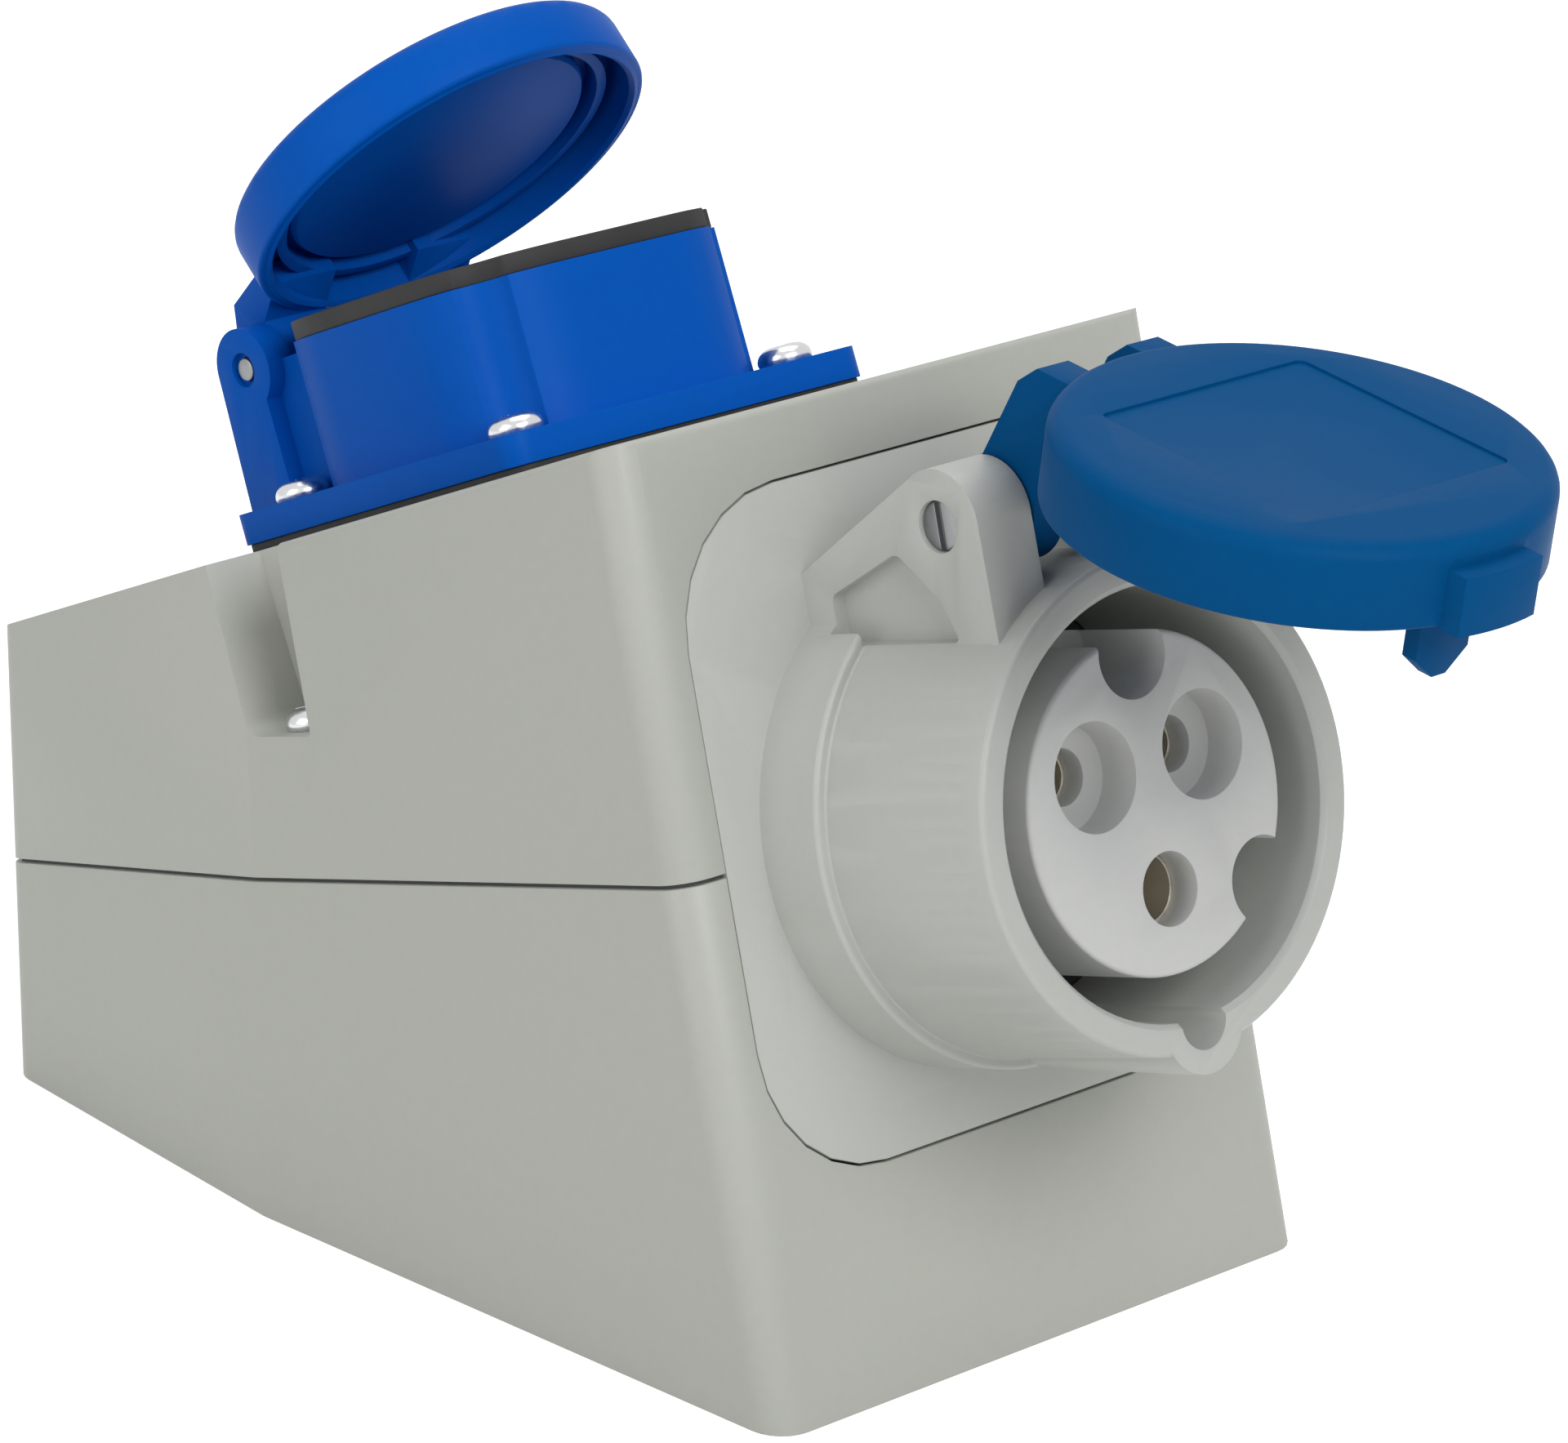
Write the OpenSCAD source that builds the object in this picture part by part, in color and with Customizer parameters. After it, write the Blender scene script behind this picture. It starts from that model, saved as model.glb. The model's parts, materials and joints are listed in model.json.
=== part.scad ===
// Surface-mounted combination wall socket: a grey two-part case that leans out from the wall,
// with a three-pole round industrial socket in its front face and a square-flanged household
// socket on its sloping top, each under a blue spring lid.
// Millimetres. Z points out of the wall, -Y towards the plug end, X across the case.
// The origin is the middle of the four wall holes, on the wall face.

/* [Case] */
// Width of the case
case_w = 78.5; // [76:0.5:90]
// Length of the case along the wall
case_l = 138.3; // [130:0.1:150]
// Lean of the front face, and of the seam, from the wall's square
case_tilt = 14; // [12:0.5:16]
// Height of the seam, up the leaning front face
seam_h = 58.8; // [56:0.2:64]
// Height of the front face, up its own slope
front_h = 104.8; // [103:0.1:110]
// Angle between the sloping top and the seam
top_fall = 8.8; // [6:0.1:10]
// Distance from the front bottom edge to where the sides start to taper
taper_start = 84; // [80:1:100]
// Width of the case at its far end
end_w = 65; // [60:0.5:72]
// Wall thickness of the case
wall = 2.5; // [2:0.1:3]
// Thickness of the floor against the wall
floor_t = 3; // [2.5:0.1:3.4]
// Radius of the upright corners
corner_r = 4; // [3:0.5:6]
// Radius along the edges of the top
top_r = 0.8; // [0.6:0.1:2.4]
// Gap at the seam, filled by the gasket
seam_gap = 0.5; // [0.4:0.1:0.8]
// Distance of the seam gasket from the outer face
gasket_in = 0.7; // [0.5:0.1:0.9]
// Width of the seam gasket
gasket_w = 1.1; // [0.8:0.1:1.4]

/* [Wall fixing and cable entry] */
// Spacing of the wall holes across the case
fix_x = 50; // [40:1:54]
// Spacing of the wall holes along the case
fix_y = 90; // [80:1:94]
// Radius of a wall hole
fix_r = 2.6; // [2:0.1:3]
// Height of the collar round a wall hole, above the floor
fix_collar = 3; // [1:0.5:5]
// Wall left above and below the cable entry, between the seam and the floor
entry_rim = 1.6; // [1.5:0.1:4]
// Thickness of the grommet round its cable hole
grommet_wall = 4.9; // [4:0.1:5.4]
// Height of the grommet's nose outside the case
grommet_nose = 5; // [3:0.5:7]

/* [Cover screws] */
// Distance of the screw recess behind the front face
recess_y = 57.4; // [54:0.2:60]
// Length of the recess at the top of the cover
recess_top = 15; // [14:0.5:18]
// Length of the recess at its floor
recess_floor = 11; // [9:0.5:12]
// Depth of the recess into the side of the cover
recess_x = 8.6; // [8:0.1:9.5]
// Height of the recess floor above the seam
recess_h = 16; // [14:0.5:20]
// Radius of the cover screw's shank
cover_screw_r = 1.9; // [1.5:0.1:2.2]
// Length of the cover screw's shank
cover_screw_l = 30; // [24:1:34]
// Radius of the cover screw's head
cover_head_r = 3.1; // [2.6:0.1:3.3]

/* [Round socket] */
// Distance of the socket's axis below the front top edge
axis_drop = 46; // [44.5:0.1:48]
// Distance of the flange's sides from the sides of the case
plate_in = 6; // [5.75:0.25:8]
// Reach of the flange above the socket's axis
plate_up = 38; // [36:0.5:38.5]
// Reach of the flange below the socket's axis
plate_down = 34; // [32:0.5:38]
// Corner radius of the flange
plate_r = 15; // [10:0.5:18]
// Clearance between the flange's sides and its window in the case
plate_gap = 0.1; // [0.1:0.05:0.4]
// Further clearance above and below the flange
plate_gap_more = 0.2; // [0:0.05:0.3]
// Radius of the collar at the foot of the sleeve
collar_r = 28; // [27.6:0.1:29]
// Height of the collar
collar_h = 8.8; // [7:0.2:10]
// Outer radius of the sleeve at the collar
sleeve_foot_r = 26.7; // [26.5:0.1:27]
// Outer radius of the sleeve at its rim
sleeve_r = 26; // [25.8:0.1:26.2]
// Inner radius of the sleeve, which takes the plug's shroud
mouth_r = 22.6; // [22.4:0.1:23]
// Height of the rim out of the front face
rim_h = 31.5; // [30:0.5:34]
// Radius of the insert that carries the contacts
insert_r = 17.9; // [17.6:0.1:18.2]
// Depth of the insert's face below the rim
face_in = 1.8; // [1:0.2:4]
// Radius of the keyway in the sleeve
key_r = 3.2; // [2.8:0.1:3.6]
// Distance of the contacts from the socket's axis
contact_pcd_r = 9; // [8.8:0.1:9.4]
// Bore radius of the two line contacts
line_r = 2.55; // [2.4:0.05:2.6]
// Bore radius of the earth contact
earth_r = 3.55; // [3.3:0.05:3.6]
// Wall of a contact tube
tube_t = 1.05; // [0.8:0.05:1.1]
// Radius of the funnel in front of a line contact
funnel_r = 5.75; // [5:0.1:6]
// Depth of that funnel
funnel_d = 5; // [3:0.5:7]

/* [Round socket's lid] */
// Height of the hinge pin out of the front face
hinge_out = 22; // [21:0.25:23]
// Height of the hinge pin above the socket's axis
hinge_up = 32.5; // [32.3:0.1:33.5]
// Radius of the hinge pin
pin_r = 2; // [1.8:0.1:2.2]
// Running clearance round a hinge pin
pin_gap = 0.05; // [0.03:0.01:0.09]
// Outer face of the hinge lugs from the middle plane
lug_x = 16.5; // [15.5:0.25:17.5]
// Thickness of a lug
lug_t = 7.5; // [6.5:0.25:8]
// Outer radius of the lid
lid_r = 25.6; // [25:0.1:25.8]
// Wall of the lid's skirt
lid_t = 1.7; // [1.4:0.1:1.9]
// Thickness of the lid's top
lid_top = 2.5; // [2:0.1:3]
// Depth of the lid
lid_d = 9.3; // [8:0.1:10]
// Thickness of the rubber ring in the lid
lid_seal_t = 1.9; // [1.5:0.1:2.2]
// How far the lid stands open
lid_open = 67; // [0:0.5:93]

/* [Household socket] */
// Distance of the socket's centre behind the front top edge
panel_back = 57.4; // [56:0.2:62]
// Side of the square flange
panel_side = 51.6; // [50.6:0.2:54]
// Corner radius of that flange
panel_corner_r = 3; // [1:0.5:5]
// Thickness of the flange
panel_t = 3.5; // [2.5:0.1:4]
// Thickness of the gasket under the flange
panel_gasket_t = 1; // [0.8:0.1:1.5]
// Side of the body above the flange
body_side = 41.6; // [41.2:0.1:42]
// Corner radius of the body
body_r = 12.5; // [10:0.5:13]
// Height of the body's top above the case
body_h = 21.2; // [20.9:0.1:22.5]
// Spacing of the flange screws, both ways
panel_fix = 39.2; // [38.6:0.1:39.6]
// Thickness of the black seal on the body
panel_seal_t = 2.2; // [1.5:0.1:3]
// Radius of the well
well_r = 19.5; // [19.3:0.1:19.7]
// Depth of the well
well_d = 17.2; // [16:0.1:17.5]
// Distance between the two line contacts
pin_pitch = 19; // [18.8:0.1:19.2]
// Bore radius of a line contact
panel_line_r = 2.45; // [2.4:0.05:2.5]

/* [Household socket's lid] */
// Distance of the hinge pin behind the socket's centre
panel_hinge_y = 25.6; // [25.4:0.1:26.2]
// Height of the hinge pin above the case
panel_hinge_z = 20; // [19.4:0.1:20.6]
// Radius of the hinge pin
panel_pin_r = 1.35; // [1.2:0.05:1.6]
// Outer face of the hinge ears from the middle plane
ear_x = 18.5; // [17.5:0.25:19]
// Thickness of an ear
ear_t = 3.4; // [2.5:0.1:3.6]
// Outer radius of the lid
panel_lid_r = 24.3; // [23.4:0.1:24.5]
// Depth of the lid
panel_lid_d = 7.2; // [6.6:0.1:7.6]
// How far the lid stands open
panel_lid_open = 24.2; // [0:0.1:103]

/* [Hidden] */

$fn = 96;
far = 200;
arc_steps = 6;
flat = 0.01;

grey = "#b4b5b0";
pale = "#c4c5c2";
blue = "#0050ac";
deep_blue = "#0b4a86";
rubber_black = "#1b1b1c";
steel = "#c0c2c4";
contact_metal = "#a9a69c";

// Cover screws stand in the recesses, clear of their inner walls
cover_screw_x = case_w / 2 - recess_x / 2 - 0.6;
cover_screw_y = recess_y + recess_floor / 2;
cover_head_h = 2.3;
cover_boss_r = 4.4;
screw_fit = 0.06;
recess_wall = 1.8;

// The cable entry stands in the middle between the floor and the seam's far end
seam_end = seam_h * cos(case_tilt) - (case_l - seam_h * sin(case_tilt)) * tan(case_tilt);
entry_r = (seam_end - floor_t) / 2 - entry_rim;
entry_h = (seam_end + floor_t) / 2;
cable_r = entry_r - grommet_wall;
entry_lip = 0.8;
entry_brim = 1.4;

// The flange of the round socket is held between the case's front wall and two ribs
sleeve_gasket_t = 1;
back_plate_t = 2.5;
back_plate_more = 2.5;
sleeve_gasket_in = 0.7;
neck_in = 0.8;
rib_t = 2;
rib_in = 3.5;
rib_reach = 30;

// Round socket, measured out of the front face along its axis
axis_h = front_h - axis_drop;
plate_x = case_w / 2 - plate_in;
face_h = rim_h - face_in;
web_lo = 2;
web_hi = 4.5;
web_gap = 0.4;
skirt_r = 25;
skirt_in = 12;
insert_flange_t = 2.5;
insert_back = -20;
shoulder_line = face_h - funnel_d - 2.7;
shoulder_earth = face_h - 3.7;
face_hole_line = 3;
face_hole_earth = 3.9;
tube_fit = 0.1;
barrel_l = 7;
barrel_line_r = 4.8;
barrel_earth_r = 5.4;
wire_r = 1.9;
wire_d = 5.5;
clamp_r = 1.5;
clamp_head_r = 2.3;
notch_r = 4.7;
notch_d = 12;
key_reach = 22.7;
key_rib_r = 5.6;
lug_boss_r = 6;
lug_inner_up = 14;
lug_rib = 4.2;
lug_sunk = 1.6;
insert_screw_r = 1.25;
insert_screw_head_r = 2;
line_at = [for (a = [150, 30]) contact_pcd_r * [cos(a), sin(a)]];
earth_at = [0, -contact_pcd_r];
notch_at = [[0, insert_r - 2.2], [insert_r * 0.98 * cos(-40), insert_r * 0.98 * sin(-40)]];

// Lid of the round socket when it is shut: it stands just off the rim, with its ring seal
seal_gap = 0.12;
lid_low = rim_h + seal_gap;
lid_under = lid_low + lid_seal_t;
lid_face = lid_low + lid_d;
crown_r = 2.2;
lid_bore_r = lid_r - lid_t;
seal_w = 1.7;
dish_r = lid_bore_r - seal_w - 1.2;
knuckle_r = 5.8;
knuckle_gap = 0.3;
knuckle_in = 4.2;
plug_coil_r = 3.2;
plug_wire_r = 0.5;
plug_coil_l = 6.4;
plug_leg = 4.5;
nose_x = 5.5;
nose_out = 2.4;
arm_top = 1.8;
hook_x = 3.8;
hook_t = 1.8;
hook_r = mouth_r - 1.3;
hook_reach = 7.8;
hook_point = 2.4;
square_side = 29;
square_d = 0.3;

// Household socket, measured up from the case's top
flange_top = panel_gasket_t + panel_t;
seal_top = body_h + panel_seal_t;
lid_gap = 0.1;
panel_lid_low = seal_top + lid_gap;
panel_lid_face = panel_lid_low + panel_lid_d;
well_floor = body_h - well_d;
seat_z = flange_top - 1.5;
insert_out_r = well_r + 1;
guide_x = well_r - 0.6;
insert_fit = 0.15;
insert_low = -12;
hole_r = insert_out_r + 0.8;
insert_lip_r = insert_out_r + 0.5;
insert_lip_t = 2.5;
tube_shoulder = well_floor - 1.5;
panel_face_hole = 2.8;
block_side = 8;
block_h = 7;
strap_w = 5.5;
strap_t = 1;
strap_y = well_r - 1.3;
strap_top = body_h - 2.2;
hump = 1.8;
centre_r = 1.5;
centre_head_r = 2.9;
centre_head_h = 1.6;
panel_screw_r = 1.6;
panel_head_r = 3.1;
panel_head_h = 2.1;
panel_boss_r = 3.5;
panel_boss_d = 9;
panel_lid_t = 1.8;
panel_lid_top = 2;
ear_r = 4.7;
ear_front = panel_fix / 2 + panel_head_r + 0.2;
barrel_r = 3.1;
panel_barrel_in = 6;
disc_d = 2;
disc_in = 6.3;
inner_ring_d = 2.6;
inner_ring_in = 3.5;
inner_ring_t = 1.2;
flute_r = 5;
ear_web = 1.2;
ear_sink = 0.8;
panel_coil_r = 2.2;
panel_wire_r = 0.4;
panel_coil_l = 9;
panel_leg = 3.5;

function unit(v) = v / norm(v);
function turned(v, a) = [v.x * cos(a) - v.y * sin(a), v.x * sin(a) + v.y * cos(a)];

// The arc of radius r that rounds the corner p1 of the outline p0, p1, p2
function arc_at(p0, p1, p2, r) =
    r <= 0 ? [p1] :
    let (a = unit(p0 - p1), b = unit(p2 - p1), half = acos(a * b) / 2,
        c = p1 + unit(a + b) * r / sin(half), s = p1 + a * r / tan(half) - c,
        side = sign(cross(-a, b)), sweep = (180 - 2 * half) * side)
    [for (i = [0 : arc_steps]) c + turned(s, sweep * i / arc_steps)];

// An outline with each corner rounded by its own radius
function rounded(pts, radii) =
    let (n = len(pts))
    [for (i = [0 : n - 1]) each arc_at(pts[(i + n - 1) % n], pts[i], pts[(i + 1) % n], radii[i])];

// A point of the side view, given behind and up the front face, in the wall's own frame
function from_front(p) = [
    p.x * cos(case_tilt) + p.y * sin(case_tilt) - case_l / 2,
    p.y * cos(case_tilt) - p.x * sin(case_tilt)];

// Frames: the case's front bottom edge, the round socket, the sloping top, the household socket
module in_case() translate([0, -case_l / 2, 0]) rotate([-case_tilt, 0, 0]) children();
module in_socket() in_case() translate([0, 0, axis_h]) rotate([90, 0, 0]) children();
module in_top() in_case() translate([0, 0, front_h]) rotate([-top_fall, 0, 0]) children();
module in_panel() in_top() translate([0, panel_back, 0]) children();
module in_plug_lid() in_socket() translate([0, hinge_up, hinge_out]) rotate([-lid_open, 0, 0])
    translate([0, -hinge_up, -hinge_out]) children();
module in_panel_lid() in_panel() translate([0, panel_hinge_y, panel_hinge_z]) rotate([-panel_lid_open, 0, 0])
    translate([0, -panel_hinge_y, -panel_hinge_z]) children();
module both_sides() for (s = [0, 1]) mirror([s, 0, 0]) children();

// A plate seen from the side, from x0 to x1: in the socket frame its outline is (out, up),
// and in the household socket's frame (back, height)
module socket_side(x0, x1) translate([x1, 0, 0]) rotate([0, -90, 0]) linear_extrude(x1 - x0) children();
module panel_side_view(x0, x1) translate([x0, 0, 0]) rotate([90, 0, 90]) linear_extrude(x1 - x0) children();

module rounded_square(side, r) {
    h = side / 2;
    polygon(rounded([[-h, -h], [h, -h], [h, h], [-h, h]], [r, r, r, r]));
}

// A tube between two radii
module pipe(r_out, r_in, z0, z1) translate([0, 0, z0]) difference() {
    cylinder(h = z1 - z0, r = r_out);
    translate([0, 0, -1]) cylinder(h = z1 - z0 + 2, r = r_in);
}

module rod(r, z0, z1) translate([0, 0, z0]) cylinder(h = z1 - z0, r = r);

// A pan-head screw that points down, its head's seat at z 0
module pan_screw(shank_r, shank_l, head_r, head_h, slot_w) difference() {
    union() {
        rod(shank_r, -shank_l, 0.2);
        rotate_extrude() polygon(concat([[0, 0], [head_r, 0]],
            [for (i = [0 : arc_steps]) [head_r * cos(i * 12), head_h * 0.45 + head_h * 0.55 * sin(i * 15)]],
            [[0, head_h]]));
    }
    for (a = [45, 135]) rotate([0, 0, a])
        translate([-head_r * 0.62, -slot_w / 2, head_h * 0.5]) cube([head_r * 1.24, slot_w, head_h]);
}

// The case's outer form, or one that is inset all round; bottom is its lowest level
module case_form(inset, bottom) {
    w = case_w / 2 - inset;
    slope = (case_w - end_w) / 2 / (case_l - taper_start);
    back = case_l / 2 - inset;
    back_x = end_w / 2 + slope * inset - inset * sqrt(1 + slope * slope);
    wide = back_x + slope * far;
    r = max(corner_r - inset, 0.6);
    round_top = inset < 0.1 ? top_r : 0;
    intersection() {
        in_case() translate([0, 0, -far / 2]) linear_extrude(2 * far)
            polygon(rounded([[-w, inset], [w, inset], [w, far], [-w, far]], [r, r, 0, 0]));
        linear_extrude(2 * far, center = true)
            polygon(rounded([[-wide, back - far], [wide, back - far], [back_x, back], [-back_x, back]],
                [0, 0, r, r]));
        case_side(inset, bottom, round_top);
        if (round_top > 0) case_crown(round_top);
    }
}

// Side view of the case: flat against the wall, with a sloping top that is rounded at both ends
module case_side(inset, bottom, r) {
    drop = inset / cos(top_fall);
    out = 5;
    corner = [0, front_h - drop];
    along = [cos(top_fall), -sin(top_fall)];
    // the far end of the top, where it meets the upright end wall
    t = tan(case_tilt + top_fall);
    lead = from_front(corner);
    end_y = case_l / 2 - inset;
    end_top = [end_y, lead.y - (end_y - lead.x) * t];
    lead_arc = [for (p = arc_at(corner - [0, far], corner, corner + along * far, r)) from_front(p)];
    end_arc = arc_at(lead, end_top, end_top - [0, far], r);
    low = [for (p = [[-out, front_h - drop - 2 * out], [-out, -far]]) from_front(p)];
    past_end = end_arc[len(end_arc) - 1];
    translate([-case_w, 0, 0]) rotate([90, 0, 90]) linear_extrude(2 * case_w) polygon(
        r > 0
        ? concat([[lead.x - far, bottom], low[0]], lead_arc, end_arc,
            [[past_end.x + out, past_end.y - out], [past_end.x + out, bottom]])
        : [[lead.x - far, bottom], lead - (end_top - lead), end_top + (end_top - lead), [far, bottom]]);
}

// The rounding along both long edges of the sloping top
module case_crown(r) {
    w = case_w / 2;
    out = 5;
    half = concat([[w + out, -far], [w + out, -r - out]],
        arc_at([w, -far], [w, 0], [0, 0], r), [[w - r - out, out]]);
    in_top() translate([0, far, 0]) rotate([90, 0, 0]) linear_extrude(2 * far)
        polygon(concat(half, [for (i = [len(half) - 1 : -1 : 0]) [-half[i].x, half[i].y]]));
}

module above_seam(gap) in_case() translate([-far / 2, -far / 2, seam_h + gap]) cube([far, 2 * far, far]);
module below_seam(gap) in_case() translate([-far / 2, -far / 2, seam_h - gap - far]) cube([far, 2 * far,
    far]);

// Outline of the round socket's flange, grown by g, and by more above and below
module plate_outline(g, more = 0) {
    x = plate_x + g;
    low = -plate_down - g - more;
    top = plate_up + g + more;
    r = plate_r + g;
    polygon(rounded([[-x, low], [x, low], [x, top], [-x, top]], [r, r, r, r]));
}

// The window that the flange of the round socket fills
module plate_window() in_socket() translate([0, 0, -wall - 1]) linear_extrude(wall + 3)
    plate_outline(plate_gap, plate_gap_more);

// The ribs behind the flange, one on each side of the case
module plate_ribs() {
    x1 = case_w / 2 - wall + 0.4;
    z0 = -wall - sleeve_gasket_t - back_plate_t - rib_t;
    in_socket() both_sides() translate([x1 - rib_in, -rib_reach, z0]) cube([rib_in, 2 * rib_reach, rib_t]);
}

// Outline of a screw recess in the side view of the case, grown by g
module recess_outline(g) {
    y0 = recess_y - g;
    z0 = seam_h + recess_h - g;
    lean = (recess_top - recess_floor) / (front_h - seam_h - recess_h - recess_y * tan(top_fall));
    top = front_h + 10;
    polygon(rounded([[y0, z0], [recess_y + recess_floor + g, z0],
        [recess_y + recess_floor + g + lean * (top - z0), top], [y0, top]], [0.6, 2.5, 0, 0]));
}

module recess(g, x_in) in_case() both_sides()
    translate([case_w / 2 - x_in, 0, 0]) rotate([90, 0, 90]) linear_extrude(x_in + 5) recess_outline(g);

module at_cover_screws() in_case() both_sides() translate([cover_screw_x, cover_screw_y, seam_h]) children();

module back_box() color(grey) difference() {
    union() {
        difference() {
            intersection() {
                case_form(0, 0);
                below_seam(seam_gap / 2);
            }
            case_form(wall, floor_t);
        }
        intersection() {
            case_form(wall / 2, 0);
            below_seam(seam_gap / 2);
            union() {
                plate_ribs();
                at_cover_screws() rod(cover_boss_r, -far / 2, 0);
                for (x = [-1, 1], y = [-1, 1]) translate([x * fix_x / 2, y * fix_y / 2, 0])
                    rod(fix_r + 3, 0, floor_t + fix_collar);
            }
        }
    }
    plate_window();
    at_cover_screws() rod(cover_screw_r + screw_fit, -(cover_screw_l - recess_h) - 2, 1);
    for (x = [-1, 1], y = [-1, 1]) translate([x * fix_x / 2, y * fix_y / 2, -1])
        cylinder(h = floor_t + fix_collar + 2, r = fix_r);
    translate([0, case_l / 2 - wall - 1, entry_h]) rotate([-90, 0, 0]) cylinder(h = wall + 2, r = entry_r);
}

module cover() color(grey) difference() {
    union() {
        difference() {
            intersection() {
                case_form(0, 0);
                above_seam(seam_gap / 2);
            }
            case_form(wall, -far);
        }
        intersection() {
            case_form(wall / 2, 0);
            above_seam(seam_gap / 2);
            union() {
                plate_ribs();
                at_cover_screws() rod(cover_boss_r, 0, recess_h);
                recess(recess_wall, recess_x + recess_wall);
                in_panel() for (x = [-1, 1], y = [-1, 1])
                    translate([x * panel_fix / 2, y * panel_fix / 2, 0]) rod(panel_boss_r, -panel_boss_d, 0);
            }
        }
    }
    plate_window();
    recess(0, recess_x);
    difference() {
        under_recess();
        at_cover_screws() rod(cover_boss_r, -1, recess_h + 1);
    }
    at_cover_screws() rod(cover_screw_r + 0.3, -1, recess_h + 1);
    in_panel() {
        rod(hole_r, -panel_boss_d, 10);
        for (x = [-1, 1], y = [-1, 1]) translate([x * panel_fix / 2, y * panel_fix / 2, 0])
            rod(panel_screw_r + screw_fit, -panel_boss_d - 1, 10);
    }
}

// Nothing is kept under a recess's floor but the screw's boss
module under_recess() in_case() both_sides()
    translate([case_w / 2 - recess_x - recess_wall - 1, recess_y - 5, seam_h - 1])
    cube([recess_x + recess_wall + 1 - wall, recess_top + 10, recess_h + 1 - recess_wall]);

module cover_gasket() color(rubber_black) difference() {
    intersection() {
        case_form(gasket_in, 0);
        in_case() translate([-far / 2, -far / 2, seam_h - seam_gap / 2]) cube([far, 2 * far, seam_gap]);
    }
    case_form(gasket_in + gasket_w, -far);
    plate_window();
}

module cover_screw(s) in_case() mirror([s, 0, 0])
    translate([cover_screw_x, cover_screw_y, seam_h + recess_h]) color(steel)
    pan_screw(cover_screw_r, cover_screw_l, cover_head_r, cover_head_h, 0.8);

// The rubber grommet that closes the cable entry
module entry_grommet() color(rubber_black) translate([0, case_l / 2, entry_h]) rotate([-90, 0, 0])
    rotate_extrude() polygon([
        [cable_r, -wall - 1.6], [entry_r + entry_lip, -wall - 1.6], [entry_r + entry_lip, -wall],
        [entry_r - 0.1, -wall], [entry_r - 0.1, 0], [entry_r + entry_brim, 0], [entry_r + entry_brim, 1],
        [entry_r + entry_brim - 0.6, 1.6], [entry_r - 1.5, 1.6],
        [cable_r + 1.5, grommet_nose], [cable_r, grommet_nose]]);

// The grey moulding of the round socket: flange, collar, sleeve, keyway and hinge lugs
module plug_sleeve() color(grey) in_socket() {
    plate_back = -wall - sleeve_gasket_t;
    difference() {
        union() {
            translate([0, 0, -wall]) linear_extrude(wall) plate_outline(0);
            translate([0, 0, plate_back - flat]) linear_extrude(sleeve_gasket_t + 2 * flat)
                plate_outline(-neck_in);
            translate([0, 0, plate_back - back_plate_t]) linear_extrude(back_plate_t)
                plate_outline(back_plate_more);
            rotate_extrude() polygon(concat(
                [[0, plate_back - skirt_in], [skirt_r, plate_back - skirt_in], [skirt_r, -flat],
                    [collar_r, -flat]],
                rounded([[collar_r, 0], [collar_r, collar_h], [sleeve_foot_r, collar_h], [sleeve_r, rim_h],
                    [0, rim_h]], [0, 0.6, 0.3, 0.7, 0])));
            intersection() {
                translate([0, -key_reach - 0.2, 0]) rod(key_rib_r, 0, rim_h);
                translate([-far / 2, -far, 0]) cube([far, far, rim_h]);
            }
            both_sides() socket_side(lug_x - lug_t, lug_x) lug_outline();
        }
        rod(mouth_r, web_hi, rim_h + 1);
        rod(insert_r + web_gap, web_lo - 1, web_hi + 1);
        rod(mouth_r, plate_back - skirt_in - 1, web_lo);
        translate([0, -key_reach, 0]) rod(key_r, web_hi, rim_h + 1);
        rotate_extrude() polygon([[mouth_r - 1, rim_h - 0.6], [mouth_r, rim_h - 0.6], [mouth_r + 0.6, rim_h],
            [mouth_r + 0.6, rim_h + 1], [mouth_r - 1, rim_h + 1]]);
        both_sides() {
            socket_side(lug_x - lug_sunk, lug_x + 1) lug_web();
            translate([lug_x + 1, hinge_up, hinge_out]) rotate([0, -90, 0]) {
                cylinder(h = lug_t + 2, r = pin_r + pin_gap);
                cylinder(h = 1 + 1.8, r = pin_r + 0.75);
            }
        }
        for (a = [0, 180]) rotate([0, 0, a]) translate([(insert_r + mouth_r) / 2, 0, 0])
            rod(insert_screw_r + screw_fit, web_lo - 1, web_hi - 0.5);
    }
}

// Side view of a lug: a boss round the pin on a gusset that runs back to the flange
module lug_outline() {
    translate([hinge_out, hinge_up]) circle(r = lug_boss_r);
    polygon([[0, mouth_r], [0, collar_r], [hinge_out - 3.4, hinge_up + 4.95], [hinge_out, hinge_up],
        [hinge_out + 5.95, hinge_up + 0.5], [hinge_out + 6.2, mouth_r - 3.6],
        [hinge_out + 5, lug_inner_up], [lug_rib, lug_inner_up]]);
}

// The sunk panel between a lug's ribs
module lug_web() polygon(rounded([[lug_rib, mouth_r - 2.1], [lug_rib, collar_r - 2.4],
    [hinge_out - 7, hinge_up - 2.6], [hinge_out - 1.8, hinge_up - 7.4], [hinge_out + 0.6, mouth_r - 2.1]],
    [0.5, 1, 1.5, 1, 0.5]));

module sleeve_gasket() color(rubber_black) in_socket() translate([0, 0, -wall - sleeve_gasket_t])
    linear_extrude(sleeve_gasket_t) difference() {
        plate_outline(back_plate_more - sleeve_gasket_in);
        plate_outline(-neck_in + 0.1);
    }

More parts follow.
